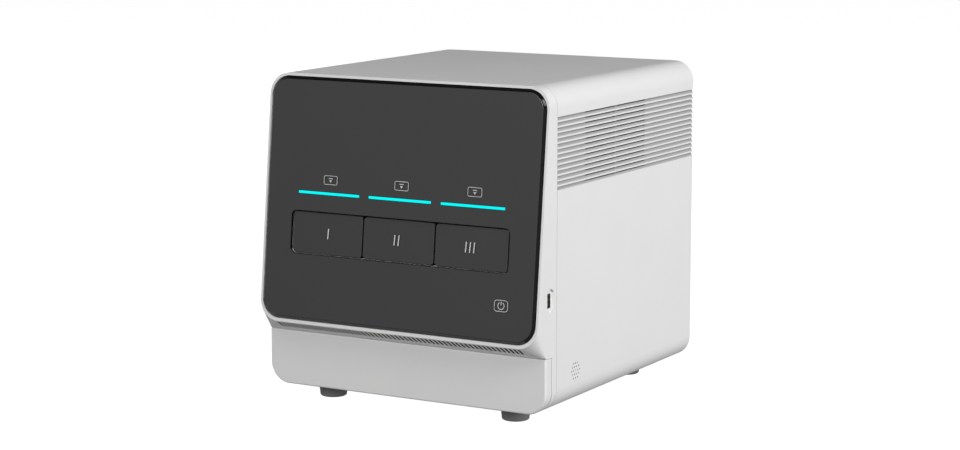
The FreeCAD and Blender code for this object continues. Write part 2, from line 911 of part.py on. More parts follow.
def tray_profile():
    outer = tray_width / 2
    inner = outer - tray_wall
    rim = tray_base + tray_height
    low = flange_bottom()
    reach = outer + tray_flange_width
    right = [(outer, tray_base), (outer, low), (reach, low), (reach, low + tray_wall),
             (outer, low + tray_wall), (outer, rim), (inner, rim), (inner, tray_base + tray_wall)]
    left = [(-u, z) for u, z in reversed(right)]
    return right + left


def make_drawer_tray(x):
    tray = profile_y(tray_profile(), tray_front, tray_rear)
    inner = tray_width / 2 - tray_wall / 2
    ends = [box(-inner, inner, y, y + tray_wall, tray_base, tray_base + tray_height)
            for y in (tray_front, tray_rear - tray_wall)]
    half_window = sink_width / 2 - sink_window_margin
    window = box(-half_window, half_window, sink_window_margin, block_length - sink_window_margin,
                 tray_base - 1, tray_base + tray_wall + 1)
    bridge = box(rack_offset - rack_body, rack_offset + rack_body, 0, block_length,
                 tray_base, tray_base + tray_wall)
    return moved(fused(fused(tray, ends).cut(window), [bridge]), x, 0, 0)


def make_heat_sink(x):
    y0 = -sink_overhang
    y1 = block_length + sink_overhang
    base = box(x - sink_width / 2, x + sink_width / 2, y0, y1, sink_base_bottom, peltier_bottom)
    pitch = (sink_width - sink_fin_thickness) / (sink_fin_count - 1)
    fins = []
    for i in range(sink_fin_count):
        left = x - sink_width / 2 + i * pitch
        fins.append(box(left, left + sink_fin_thickness, y0, y1, tray_base + tray_wall, sink_base_bottom))
    return fused(base, fins)


def make_peltier_plate(x):
    reach = block_width / 2 + peltier_margin
    return box(x - reach, x + reach, 0, block_length, peltier_bottom, block_bottom)


def well_places():
    return [block_end_margin + i * well_pitch for i in range(well_count)]


def make_sample_block(x):
    """Aluminium block with a row of wells: a straight collar over a cone, as the tubes are."""
    block = box(x - block_width / 2, x + block_width / 2, 0, block_length, block_bottom, block_top)
    wells = []
    for y in well_places():
        mouth = block_top - well_collar_depth
        rings = [(well_tip_radius, mouth - well_cone_depth), (well_radius, mouth)]
        rings.append((well_radius, block_top + 1))
        wells.append(many_sided_taper(well_sides, x, y, rings))
    return block.cut(wells)


def make_drawer_rack(x):
    """Straight rack under the tray; its teeth face +X, with a gap at the pinion."""
    pitch = math.pi * gear_module
    slope = math.tan(math.radians(pressure_angle))
    tooth = pitch / 2 - tooth_backlash / 2
    start = pinion_y - rack_front_margin
    end = tray_rear
    pitch_x = x + rack_offset
    root_x = pitch_x - tooth_dedendum
    tip_x = pitch_x + tooth_addendum
    points = [(root_x - rack_body, start), (root_x, start)]
    first = math.ceil((start - pinion_y) / pitch - 0.5 + tooth / pitch)
    centre = pinion_y + (first + 0.5) * pitch
    while centre + tooth < end:
        root_half = tooth / 2 + tooth_dedendum * slope
        tip_half = tooth / 2 - tooth_addendum * slope
        points += [(root_x, centre - root_half), (tip_x, centre - tip_half),
                   (tip_x, centre + tip_half), (root_x, centre + root_half)]
        centre += pitch
    points += [(root_x, end), (root_x - rack_body, end)]
    corners = [Vector(u, v, rack_bottom) for u, v in points]
    return Part.Face(Part.makePolygon(corners + corners[:1])).extrude(Vector(0, 0, rack_height))


def pinion_x(x):
    return x + rack_offset + pinion_radius


def involute_half_angle(radius):
    """Half the angle that a pinion tooth fills at a radius."""
    alpha = math.radians(pressure_angle)
    base = pinion_radius * math.cos(alpha)
    at_pitch = math.pi / (2 * pinion_teeth) - tooth_backlash / (4 * pinion_radius)
    spread = math.tan(alpha) - alpha
    if radius <= base:
        return at_pitch + spread
    angle = math.acos(base / radius)
    return at_pitch + spread - (math.tan(angle) - angle)


def make_drive_pinion(x):
    """Pinion with its shaft, which runs in the motor's nose."""
    root = pinion_radius - tooth_dedendum
    tip = pinion_radius + tooth_addendum - tooth_tip_gap
    radii = [root, pinion_radius, tip]
    centre = pinion_x(x)
    points = []
    for i in range(pinion_teeth):
        middle = math.pi + i * 2 * math.pi / pinion_teeth
        flank = [(r, -involute_half_angle(r)) for r in radii]
        flank += [(r, involute_half_angle(r)) for r in reversed(radii)]
        points += [(centre + r * math.cos(middle + a), pinion_y + r * math.sin(middle + a)) for r, a in flank]
    low = rack_bottom + pinion_lift
    corners = [Vector(u, v, low) for u, v in points]
    gear = Part.Face(Part.makePolygon(corners + corners[:1])).extrude(Vector(0, 0, pinion_thickness))
    shaft_end = shelf_top - shelf_thickness - shaft_engagement
    shaft = cylinder(motor_shaft_radius, Vector(centre, pinion_y, shaft_end), Vector(0, 0, 1),
                     low + pinion_thickness / 2 - shaft_end)
    return fused(gear, [shaft])


def make_drawer_motors():
    """Square geared motors under the shelf, one for each drawer."""
    motors = []
    under = shelf_top - shelf_thickness
    for x in module_x:
        centre = pinion_x(x)
        body = box(centre - motor_size / 2, centre + motor_size / 2, pinion_y - motor_size / 2,
                   pinion_y + motor_size / 2, under - motor_length, under)
        upright = [e for e in body.Edges if abs(e.Vertexes[0].Point.z - e.Vertexes[1].Point.z) > 1]
        body = body.makeChamfer(motor_corner, upright)
        bore = many_sided(pin_sides, motor_shaft_radius + shaft_clearance,
                          Vector(centre, pinion_y, under - shaft_engagement - shaft_end_gap),
                          Vector(0, 0, 1), motor_length)
        motors.append(body.cut(bore))
    return compound(motors)


# Heated lids on guide pins under the optics deck

def lid_pin_places(x):
    return [(x + side * lid_pin_x, block_length / 2) for side in (-1, 1)]


def make_heated_lid(x):
    plate = box(x - lid_width / 2, x + lid_width / 2, -lid_overhang, block_length + lid_overhang,
                lid_bottom, lid_bottom + lid_thickness)
    lugs = box(x - lid_lug_reach, x + lid_lug_reach, block_length / 2 - lid_lug_length / 2,
               block_length / 2 + lid_lug_length / 2, lid_bottom, lid_bottom + lid_thickness / 2)
    window = box(x - lid_window_width / 2, x + lid_window_width / 2, block_end_margin / 2,
                 block_length - block_end_margin / 2, 0, top)
    bores = [many_sided(pin_sides, lid_pin_radius + lid_bore_gap, Vector(px, py, 0), Vector(0, 0, 1), top)
             for px, py in lid_pin_places(x)]
    return fused(plate, [lugs]).cut([window] + bores)


def make_lid_guide_pins():
    pins = []
    for x in module_x:
        for px, py in lid_pin_places(x):
            pin = many_sided(pin_sides, lid_pin_radius, Vector(px, py, lid_bottom), Vector(0, 0, 1),
                             deck_bottom - lid_bottom)
            collar = many_sided(hole_sides, lid_pin_collar_radius,
                                Vector(px, py, lid_bottom - lid_pin_collar_height),
                                Vector(0, 0, 1), lid_pin_collar_height)
            pins.append(fused(pin, [collar]))
    return compound(pins)


# Scanning optics: two rods, a head that reads one row of wells at a time, and its belt

def rod_places():
    return [rod_front_y, rod_front_y + rod_spacing]


def make_optics_rods():
    return compound([cylinder(rod_radius, Vector(-rod_half_length, y, rod_z), Vector(1, 0, 0),
                              2 * rod_half_length) for y in rod_places()])


def make_rod_supports():
    supports = []
    for y in rod_places():
        for side in (-1, 1):
            x = side * (rod_half_length - rod_support_length / 2)
            block = box(x - rod_support_length / 2, x + rod_support_length / 2, y - rod_support_width / 2,
                        y + rod_support_width / 2, deck_top, rod_z + rod_radius + rod_support_rise)
            bore = many_sided(bore_sides, rod_radius + rod_seat_gap, Vector(-width, y, rod_z),
                              Vector(1, 0, 0), 2 * width)
            supports.append(block.cut(bore))
    return compound(supports)


def make_optics_head():
    """Optics housing over the first drawer's wells, with lens ports below and a belt clamp behind."""
    x = module_x[0]
    low = deck_top + head_gap
    body = box(x - head_width / 2, x + head_width / 2, head_front, head_back, low, low + head_height)
    upper = [e for e in body.Edges if all(v.Point.z > low + 1 for v in e.Vertexes)]
    body = body.makeChamfer(head_chamfer, upper)
    clamp_z = belt_z + pulley_radius + belt_thickness + slide_gap
    clamp = box(x - belt_clamp_width / 2, x + belt_clamp_width / 2, head_back - 1,
                belt_y + belt_width / 2, clamp_z, clamp_z + belt_clamp_height)
    bores = [many_sided(bore_sides, rod_radius + shaft_clearance, Vector(-width, y, rod_z),
                        Vector(1, 0, 0), 2 * width) for y in rod_places()]
    lens = [many_sided(hole_sides, head_lens_radius, Vector(x, y, 0), Vector(0, 0, 1), low + head_lens_radius)
            for y in well_places()[::2]]
    return fused(body, [clamp]).cut(bores + lens)


def stadium(radius, y0, y1):
    """A flat loop round both pulleys, filled in."""
    face = rounded_face(-belt_half_span - radius, belt_half_span + radius, belt_z - radius, belt_z + radius,
                        radius - 0.001)
    face.Placement = Placement(Vector(0, y0, 0), Rotation(Vector(1, 0, 0), 90))
    return face.extrude(Vector(0, y1 - y0, 0))


def make_optics_belt():
    y0 = belt_y - belt_width / 2
    y1 = belt_y + belt_width / 2
    return stadium(pulley_radius + belt_thickness, y0, y1).cut(stadium(pulley_radius, y0 - 1, y1 + 1))


def make_belt_idler_pulley():
    start = Vector(-belt_half_span, belt_y - belt_width / 2, belt_z)
    wheel = cylinder(pulley_radius - pulley_gap, start, Vector(0, 1, 0), belt_width)
    return wheel.cut(many_sided(bore_sides, pulley_bore_radius + shaft_clearance, start, Vector(0, 1, 0),
                                belt_width))


def optics_motor_face():
    return belt_y + belt_width / 2 + motor_face_gap


def make_belt_drive_pulley():
    start = Vector(belt_half_span, belt_y - belt_width / 2, belt_z)
    wheel = cylinder(pulley_radius - pulley_gap, start, Vector(0, 1, 0), belt_width)
    shaft = cylinder(pulley_bore_radius, start, Vector(0, 1, 0),
                     optics_motor_face() + shaft_engagement - start.y)
    return fused(wheel, [shaft])


def make_optics_motor():
    y0 = optics_motor_face()
    side = belt_z - deck_top
    body = centred_box(belt_half_span, y0 + motor_length / 2, belt_z, 2 * side, motor_length, 2 * side)
    along = [e for e in body.Edges if abs(e.Vertexes[0].Point.y - e.Vertexes[1].Point.y) > 1]
    body = body.makeChamfer(motor_corner, along)
    return body.cut(many_sided(bore_sides, pulley_bore_radius + shaft_clearance,
                               Vector(belt_half_span, y0, belt_z), Vector(0, 1, 0),
                               shaft_engagement + shaft_end_gap))


# Fans

def fan_blade(x, z):
    """One pitched blade: a flat slanted plate from inside the hub out to its tip."""
    y0 = rear_y - fan_depth + fan_motor_depth + slide_gap + fan_blade_inset
    y1 = rear_y - fan_rotor_back_gap - fan_blade_inset
    wing = fan_blade_thickness / 2
    root = fan_hub_radius * 0.9
    tip = math.sqrt((fan_bore_radius - fan_tip_gap) ** 2 - (fan_blade_rise + wing) ** 2)
    low = z - fan_blade_rise
    high = z + fan_blade_rise
    outline = [Vector(x + root, y0, low - wing), Vector(x + root, y1, high - wing),
               Vector(x + root, y1, high + wing), Vector(x + root, y0, low + wing)]
    return Part.Face(Part.makePolygon(outline + outline[:1])).extrude(Vector(tip - root, 0, 0))


def make_fan_rotor(x, z):
    y0 = rear_y - fan_depth + fan_motor_depth + slide_gap
    back = rear_y - fan_rotor_back_gap
    hub = many_sided(seat_sides, fan_hub_radius, Vector(x, y0, z), Vector(0, 1, 0), back - y0)
    boss = cylinder(fan_boss_radius, Vector(x, back, z), Vector(0, 1, 0), fan_boss_height)
    blade = fan_blade(x, z)
    blades = []
    for i in range(fan_blade_count):
        copy = blade.copy()
        copy.rotate(Vector(x, 0, z), Vector(0, 1, 0), i * 360 / fan_blade_count)
        blades.append(copy)
    return fused(hub, blades + [boss])


def make_fan_frames():
    """Square fan frames, each with a motor seat on four struts."""
    frames = []
    for x, z in fan_centres():
        y0 = rear_y - fan_depth
        frame = centred_box(x, y0 + fan_depth / 2, z, fan_size, fan_depth, fan_size)
        frame = frame.cut(many_sided(fan_bore_sides, fan_bore_radius, Vector(x, y0 - 1, z), Vector(0, 1, 0),
                                     fan_depth + 2))
        seat = many_sided(seat_sides, fan_motor_radius, Vector(x, y0, z), Vector(0, 1, 0), fan_motor_depth)
        reach = 2 * fan_bore_radius + 1
        struts = [centred_box(x, y0 + fan_motor_depth / 2, z, reach, fan_motor_depth, fan_strut_width),
                  centred_box(x, y0 + fan_motor_depth / 2, z, fan_strut_width, fan_motor_depth, reach)]
        frames.append(fused(frame, [seat] + struts))
    return compound(frames)


# Ports in the rear panel

def make_mains_inlet():
    """Appliance inlet with two screw ears, an open cavity and three flat pins."""
    z = port_z
    flange = prism_y(inlet_x - inlet_width / 2, inlet_x + inlet_width / 2, z - inlet_flange_height / 2,
                     z + inlet_flange_height / 2, inlet_flange_radius, rear_face, rear_face + inlet_flange)
    body = centred_box(inlet_x, rear_face - inlet_body_depth / 2, z, inlet_body_width, inlet_body_depth,
                       inlet_body_height)
    half_w = inlet_cavity_width / 2
    half_h = inlet_cavity_height / 2
    cut_corner = inlet_cavity_corner
    mouth = rear_face + inlet_flange
    points = [(inlet_x - half_w, z - half_h), (inlet_x + half_w, z - half_h),
              (inlet_x + half_w, z + half_h - cut_corner), (inlet_x + half_w - cut_corner, z + half_h),
              (inlet_x - half_w + cut_corner, z + half_h), (inlet_x - half_w, z + half_h - cut_corner)]
    cavity = profile_y(points, mouth - inlet_cavity_depth, mouth + 1)
    shell = fused(flange, [body]).cut(cavity)
    floor_y = mouth - inlet_cavity_depth
    pins = []
    for dx, rise in ((-inlet_pin_spacing, -inlet_pin_rise), (inlet_pin_spacing, -inlet_pin_rise),
                     (0.0, inlet_pin_rise)):
        pins.append(centred_box(inlet_x + dx, floor_y + inlet_pin_length / 2, z + rise, inlet_pin_width,
                                inlet_pin_length, inlet_pin_height))
    return fused(shell, pins)


def rocker_pivot():
    return Vector(switch_x, rear_face + switch_flange - rocker_pivot_depth, port_z)


def make_power_switch_body():
    z = port_z
    flange = centred_box(switch_x, rear_face + switch_flange / 2, z, switch_width, switch_flange,
                         switch_height)
    inner_width = switch_width - 2 * switch_body_inset
    body = centred_box(switch_x, rear_face - switch_depth / 2, z, inner_width, switch_depth,
                       switch_height - 2 * switch_body_inset)
    well = centred_box(switch_x, rear_face, z, rocker_width + rocker_side_gap * 2, 2 * switch_well_depth,
                       rocker_height + 2 * rocker_clearance)
    pin = many_sided(bore_sides, rocker_pivot_radius, rocker_pivot() - Vector(inner_width / 2, 0, 0),
                     Vector(1, 0, 0), inner_width)
    return fused(fused(flange, [body]).cut(well), [pin])


def make_power_rocker():
    """Rocker that tips about its pin, modelled with its lower half pressed in."""
    pivot = rocker_pivot()
    reach = rocker_height / 2
    low = pivot.y - rocker_low
    middle_y = pivot.y + rocker_middle
    end_y = pivot.y + rocker_end
    points = [(low, -reach * rocker_foot), (end_y - rocker_edge, -reach), (end_y, -reach), (middle_y, 0.0),
              (end_y, reach), (end_y - rocker_edge, reach), (low, reach * rocker_foot)]
    rocker = profile_x([(y, pivot.z + z) for y, z in points], switch_x - rocker_width / 2,
                       switch_x + rocker_width / 2)
    boss = cylinder(rocker_pivot_radius + rocker_boss_wall, pivot - Vector(rocker_width / 2, 0, 0),
                    Vector(1, 0, 0), rocker_width)
    rocker = fused(rocker, [boss])
    rocker = rocker.cut(cylinder(rocker_pivot_radius + rocker_bore_gap, pivot - Vector(width, 0, 0),
                                 Vector(1, 0, 0), 2 * width))
    rocker.rotate(pivot, Vector(1, 0, 0), -rocker_tilt)
    return rocker


def make_network_port():
    mouth = rear_face + network_rim
    body = box(network_x - network_width / 2, network_x + network_width / 2, rear_face - network_depth, mouth,
               port_z - network_height / 2, port_z + network_height / 2)
    cavity = box(network_x - network_cavity_width / 2, network_x + network_cavity_width / 2,
                 mouth - network_cavity_depth, mouth + 1, port_z - network_cavity_height / 2,
                 port_z + network_cavity_height / 2)
    return body.cut(cavity)


def make_usb_port():
    """Metal shell standing on its side, with the contact tongue set back in it."""
    face = usb_recess_depth
    shell = usb_outline(0, face, face + usb_shell_depth)
    hollow = usb_outline(-usb_shell_wall, face - 1, face + usb_shell_depth - usb_back_wall)
    x1 = half - face - usb_tongue_setback
    x0 = half - face - usb_shell_depth
    z = floor + usb_height
    tongue = box(x0, x1, -usb_y - usb_tongue_thickness / 2, -usb_y + usb_tongue_thickness / 2,
                 z - usb_tongue_length / 2, z + usb_tongue_length / 2)
    return fused(shell.cut(hollow), [tongue])


def make_speaker():
    wall = half - sleeve_wall
    start = Vector(wall - speaker_depth, speaker_y, floor + speaker_height)
    return many_sided(seat_sides, speaker_radius, start, Vector(1, 0, 0), speaker_depth)


# Electronics on the base plate

def make_mainboard():
    x0 = -electronics_side
    x1 = x0 + electronics_width
    y0 = electronics_front
    y1 = rear_y - mainboard_rear_gap
    low = base_top + standoff_height
    board = box(x0, x1, y0, y1, low, low + board_thickness)
    posts = [many_sided(hole_sides, standoff_radius, Vector(x, y, base_top), Vector(0, 0, 1), standoff_height)
             for x in (x0 + standoff_inset, x1 - standoff_inset)
             for y in (y0 + standoff_inset, y1 - standoff_inset)]
    face = low + board_thickness
    middle_x = (x0 + x1) / 2
    middle_y = y0 + processor_front_inset + processor_size / 2
    processor = centred_box(middle_x, middle_y, face + processor_height / 2, processor_size, processor_size,
                            processor_height)
    socket_end = x1 - socket_side_inset
    socket_front = y0 + socket_front_inset
    socket = box(socket_end - socket_width, socket_end, socket_front, socket_front + socket_length, face,
                 face + socket_height)
    connector_start = x0 + connector_side_inset
    connector_end = y1 - connector_rear_inset
    connector = box(connector_start, connector_start + connector_width, connector_end - connector_length,
                    connector_end, face, face + connector_height)
    return fused(board, posts + [processor, socket, connector])


def make_power_supply():
    x1 = electronics_side
    x0 = x1 - electronics_width
    y0 = electronics_front
    case = box(x0, x1, y0, rear_y - power_supply_rear_gap, base_top, base_top + power_supply_height)
    ledge = box(x0 + power_terminal_inset, x1 - power_terminal_inset, y0 - 1, y0 + power_terminal_length,
                base_top + power_terminal_height, top)
    return case.cut(ledge)


pieces["front_shroud"] = make_front_shroud()
pieces["lower_fascia"] = make_lower_fascia()
pieces["front_panel"] = make_front_panel()
pieces["status_light_bars"] = make_light_bars()
pieces["touch_board"] = make_touch_board()
pieces["enclosure_sleeve"] = make_enclosure_sleeve()
pieces["rear_panel"] = make_rear_panel()
pieces["rubber_feet"] = make_feet()
pieces["base_plate"] = make_base_plate()
pieces["module_frame"] = make_module_frame()
pieces["drawer_runners"] = make_drawer_runners()
pieces["drawer_motors"] = make_drawer_motors()
pieces["optics_deck"] = make_optics_deck()
pieces["lid_guide_pins"] = make_lid_guide_pins()
for number, x in enumerate(module_x, 1):
    pieces[f"drawer_front_{number}"] = make_drawer_front(x)
    pieces[f"drawer_tray_{number}"] = make_drawer_tray(x)
    pieces[f"heat_sink_{number}"] = make_heat_sink(x)
    pieces[f"peltier_plate_{number}"] = make_peltier_plate(x)
    pieces[f"sample_block_{number}"] = make_sample_block(x)
    pieces[f"drawer_rack_{number}"] = make_drawer_rack(x)
    pieces[f"drive_pinion_{number}"] = make_drive_pinion(x)
    pieces[f"heated_lid_{number}"] = make_heated_lid(x)
pieces["optics_rods"] = make_optics_rods()
pieces["rod_supports"] = make_rod_supports()
pieces["optics_head"] = make_optics_head()
pieces["optics_belt"] = make_optics_belt()
pieces["belt_idler_pulley"] = make_belt_idler_pulley()
pieces["belt_drive_pulley"] = make_belt_drive_pulley()
pieces["optics_motor"] = make_optics_motor()
pieces["fan_frames"] = make_fan_frames()
for name, (x, z) in zip(("fan_rotor_left", "fan_rotor_right"), fan_centres()):
    pieces[name] = make_fan_rotor(x, z)
pieces["mains_inlet"] = make_mains_inlet()
pieces["power_switch_body"] = make_power_switch_body()
pieces["power_rocker"] = make_power_rocker()
pieces["network_port"] = make_network_port()
pieces["usb_port"] = make_usb_port()
pieces["speaker"] = make_speaker()
pieces["mainboard"] = make_mainboard()
pieces["power_supply"] = make_power_supply()

# The origin goes under the middle of the machine.
whole = FreeCAD.BoundBox()
for shape in pieces.values():
    whole.add(shape.optimalBoundingBox(False))
middle = (whole.YMin + whole.YMax) / 2
print("moved along Y by", round(-middle, 4), "size", round(whole.XLength, 3), round(whole.YLength, 3),
      round(whole.ZLength, 3))

for name, shape in pieces.items():
    shape.translate(Vector(0, -middle, 0))
    shape.exportStep(f"parts/{name}.step")
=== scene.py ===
# %% [markdown]
# # A bench real-time PCR machine
# The machine stands on a pale studio floor, seen a little from its right and from above. Its solids come from
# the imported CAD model. This lesson gives each of them its real finish, softens the edges that catch light,
# and adds what is printed or too small for the solids.

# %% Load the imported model
import math

import bpy
from mathutils import Matrix, Vector


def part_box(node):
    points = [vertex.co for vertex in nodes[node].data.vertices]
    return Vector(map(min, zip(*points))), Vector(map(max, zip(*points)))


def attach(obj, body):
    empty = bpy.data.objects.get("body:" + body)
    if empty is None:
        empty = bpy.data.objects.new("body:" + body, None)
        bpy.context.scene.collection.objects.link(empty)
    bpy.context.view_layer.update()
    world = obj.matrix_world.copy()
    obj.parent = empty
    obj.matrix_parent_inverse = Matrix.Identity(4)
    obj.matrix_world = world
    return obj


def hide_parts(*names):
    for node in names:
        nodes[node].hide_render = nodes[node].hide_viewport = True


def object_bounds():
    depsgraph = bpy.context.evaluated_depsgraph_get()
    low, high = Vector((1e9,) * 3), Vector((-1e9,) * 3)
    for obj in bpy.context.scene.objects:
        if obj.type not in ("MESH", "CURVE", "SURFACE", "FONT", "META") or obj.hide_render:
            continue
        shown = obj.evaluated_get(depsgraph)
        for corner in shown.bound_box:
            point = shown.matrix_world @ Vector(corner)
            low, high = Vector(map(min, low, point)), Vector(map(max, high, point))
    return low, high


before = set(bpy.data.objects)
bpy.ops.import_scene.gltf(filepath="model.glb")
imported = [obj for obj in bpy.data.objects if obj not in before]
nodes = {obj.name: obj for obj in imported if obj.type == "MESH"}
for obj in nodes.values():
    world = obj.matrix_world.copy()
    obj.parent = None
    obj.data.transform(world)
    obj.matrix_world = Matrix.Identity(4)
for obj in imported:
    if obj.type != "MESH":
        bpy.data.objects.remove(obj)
cad_low, cad_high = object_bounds()
print("CAD box in mm", [round(1000 * (b - a), 1) for a, b in zip(cad_low, cad_high)])

# %% [markdown]
# ## Units and small helpers
# Real sizes are written in millimetres, and Blender works in metres, so one factor turns the first into the
# second. Operators act on all that is selected, so every step starts from nothing selected.

# %% Helpers for selection, edit mode and modifiers
mm = 0.001


def deselect():
    if bpy.context.mode != "OBJECT":
        bpy.ops.object.mode_set(mode="OBJECT")
    bpy.ops.object.select_all(action="DESELECT")


def pick(piece):
    """Make one piece the only one that operators act on."""
    deselect()
    piece.select_set(True)
    bpy.context.view_layer.objects.active = piece


def apply_place(piece):
    pick(piece)
    bpy.ops.object.transform_apply(location=True, rotation=True, scale=True)


def edit_all():
    """Open the active piece in edit mode with all of it selected."""
    bpy.ops.object.mode_set(mode="EDIT")
    bpy.ops.mesh.select_all(action="SELECT")


def leave_edit():
    bpy.ops.object.mode_set(mode="OBJECT")


def apply_modifier(piece, kind, **settings):
    """Add a modifier of one kind, give it its settings and apply it."""
    pick(piece)
    modifier = piece.modifiers.new(kind.lower(), kind)
    for name, value in settings.items():
        setattr(modifier, name, value)
    bpy.ops.object.modifier_apply(modifier=modifier.name)


# %% [markdown]
# ## Camera
# The photograph was taken from the front right and from slightly above, with a long lens that keeps the
# machine's upright edges almost parallel. The camera's place and focal length were worked out from the
# machine's own straight edges.

# %% Camera at the photograph's angle
camera_place = Vector((1.15494, -2.01661, 0.52554))
camera_azimuth = 29.835
camera_pitch = 8.972
lens_mm = 90.41

camera_data = bpy.data.cameras.new("studio_camera")
camera_data.lens = lens_mm
camera_data.sensor_width = 36.0
camera_data.clip_end = 50.0
camera = bpy.data.objects.new("studio_camera", camera_data)
camera.location = camera_place
camera.rotation_euler = (math.radians(90 - camera_pitch), 0.0, math.radians(camera_azimuth))
bpy.context.scene.collection.objects.link(camera)
bpy.context.scene.camera = camera
print("camera", lens_mm, "mm lens at", [round(c, 3) for c in camera_place])

# %% [markdown]
# ## Colours and shader nodes
# A colour is written as the sRGB value that an eye would match on a screen. Blender adds light in linear
# values, so one function turns the first into the second. A second function adds a shader node, gives it its
# settings and links its inputs.

# %% Helpers for colours and nodes
def linear(hex_colour):
    """An sRGB hex colour as linear red, green, blue and alpha."""
    channels = [int(hex_colour[i:i + 2], 16) / 255 for i in (1, 3, 5)]
    curve = [c / 12.92 if c <= 0.04045 else ((c + 0.055) / 1.055) ** 2.4 for c in channels]
    return (*curve, 1.0)


def add_node(tree, kind, inputs=None, **settings):
    """A node of one kind. An input's value is a number, a colour or the output socket that feeds it."""
    node = tree.nodes.new(kind)
    for name, value in settings.items():
        setattr(node, name, value)
    for name, value in (inputs or {}).items():
        if isinstance(value, bpy.types.NodeSocket):
            tree.links.new(value, node.inputs[name])
        else:
            node.inputs[name].default_value = value
    return node


def new_material(name):
    """An empty material with its tree, its Principled shader and its object coordinates."""
    finish = bpy.data.materials.new(name)
    finish.use_nodes = True
    tree = finish.node_tree
    tree.nodes.clear()
    shader = add_node(tree, "ShaderNodeBsdfPrincipled")
    add_node(tree, "ShaderNodeOutputMaterial", {"Surface": shader.outputs["BSDF"]})
    place = add_node(tree, "ShaderNodeTexCoord").outputs["Object"]
    return finish, tree, shader, place


def set_sockets(shader, **values):
    for name, value in values.items():
        shader.inputs[name.replace("_", " ")].default_value = value


def noise_of(tree, place, size, detail):
    """Noise whose cells are about one size across, in millimetres."""
    noise = add_node(tree, "ShaderNodeTexNoise", {"Vector": place, "Scale": 1.0 / (size * mm), "Detail": detail})
    return noise.outputs["Fac"]


# %% [markdown]
# ## One way to make a finish
# No real surface has one even colour and one even shine. Each finish here has two close colours that wander
# into each other in soft patches, a roughness that wanders between two values, and often a fine relief. All
# sizes are in millimetres on the real piece.

# %% Helpers for finishes
def mottled(tree, place, first, second, patch):
    """Two close colours that wander into each other in soft patches."""
    noise = noise_of(tree, place, patch, detail=3.0)
    return add_node(tree, "ShaderNodeMix", {"Factor": noise, 6: linear(first), 7: linear(second)},
                    data_type="RGBA").outputs[2]


def wandering(tree, place, low, high, patch):
    """A number that wanders between two values, for roughness."""
    noise = noise_of(tree, place, patch, detail=2.0)
    span = add_node(tree, "ShaderNodeMapRange", {"Value": noise, "To Min": low, "To Max": high})
    return span.outputs["Result"]


def grain_bump(tree, place, grain, depth, strength):
    """Fine relief of one grain size and depth."""
    noise = noise_of(tree, place, grain, detail=1.5)
    bump = add_node(tree, "ShaderNodeBump", {"Height": noise, "Distance": depth * mm, "Strength": strength})
    return bump.outputs["Normal"]


def patchy_finish(name, colours, patch, roughness, rough_patch, grain=0.0, depth=0.0, strength=1.0,
                  pattern_scale=None, shade=None, **sockets):
    """A material with two close colours, a wandering roughness and, where it has a grain, its relief.

    A pattern scale below one along an axis draws the patterns out along it. Shade is a function that changes
    the colour. Every other name is a socket of the Principled shader.
    """
    finish, tree, shader, place = new_material(name)
    set_sockets(shader, **sockets)
    if pattern_scale:
        place = add_node(tree, "ShaderNodeMapping", {"Vector": place, "Scale": pattern_scale}).outputs["Vector"]
    colour = mottled(tree, place, *colours, patch)
    if shade:
        colour = shade(tree, place, colour)
    tree.links.new(colour, shader.inputs["Base Color"])
    tree.links.new(wandering(tree, place, *roughness, rough_patch), shader.inputs["Roughness"])
    if grain:
        tree.links.new(grain_bump(tree, place, grain, depth, strength), shader.inputs["Normal"])
    return finish


# %% [markdown]
# ## White housing: spark-eroded ABS
# The case, the shroud and the fascia are moulded ABS. The mould was spark eroded, which leaves a fine even
# grain that takes the shine off. Its real grain is about 0.2 mm across. It is drawn at 0.9 mm here, or it
# would be too fine to show. ABS has an IOR of 1.53.

# %% White ABS
abs_look = dict(colours=("#E9E9E8", "#E4E4E4"), patch=60.0, roughness=(0.36, 0.45), rough_patch=35.0,
                grain=0.9, depth=0.02, strength=0.35, IOR=1.53)
white_abs = patchy_finish("spark_eroded_white_abs", **abs_look)

# %% [markdown]
# The case has the same finish, with shade painted into the colour of its grooves: the deeper a face lies, the
# darker its colour, and the slots are darkest. A face's depth is told by its distance from the middle of the
# case: the outer face is 150 mm out, a groove's floor 148 mm, and the slots lie further in.

# %% White ABS with painted shade in its grooves
groove_floor_shade = 0.34
groove_mouth_shade = 0.64
slot_shade = 0.2
groove_floor = 148.0
groove_mouth = 149.8
slot_inner_end = 147.8
slot_outer_end = 147.95
outer_face_starts = 149.85
grooves_bottom = 48.0
grooves_top = 288.0


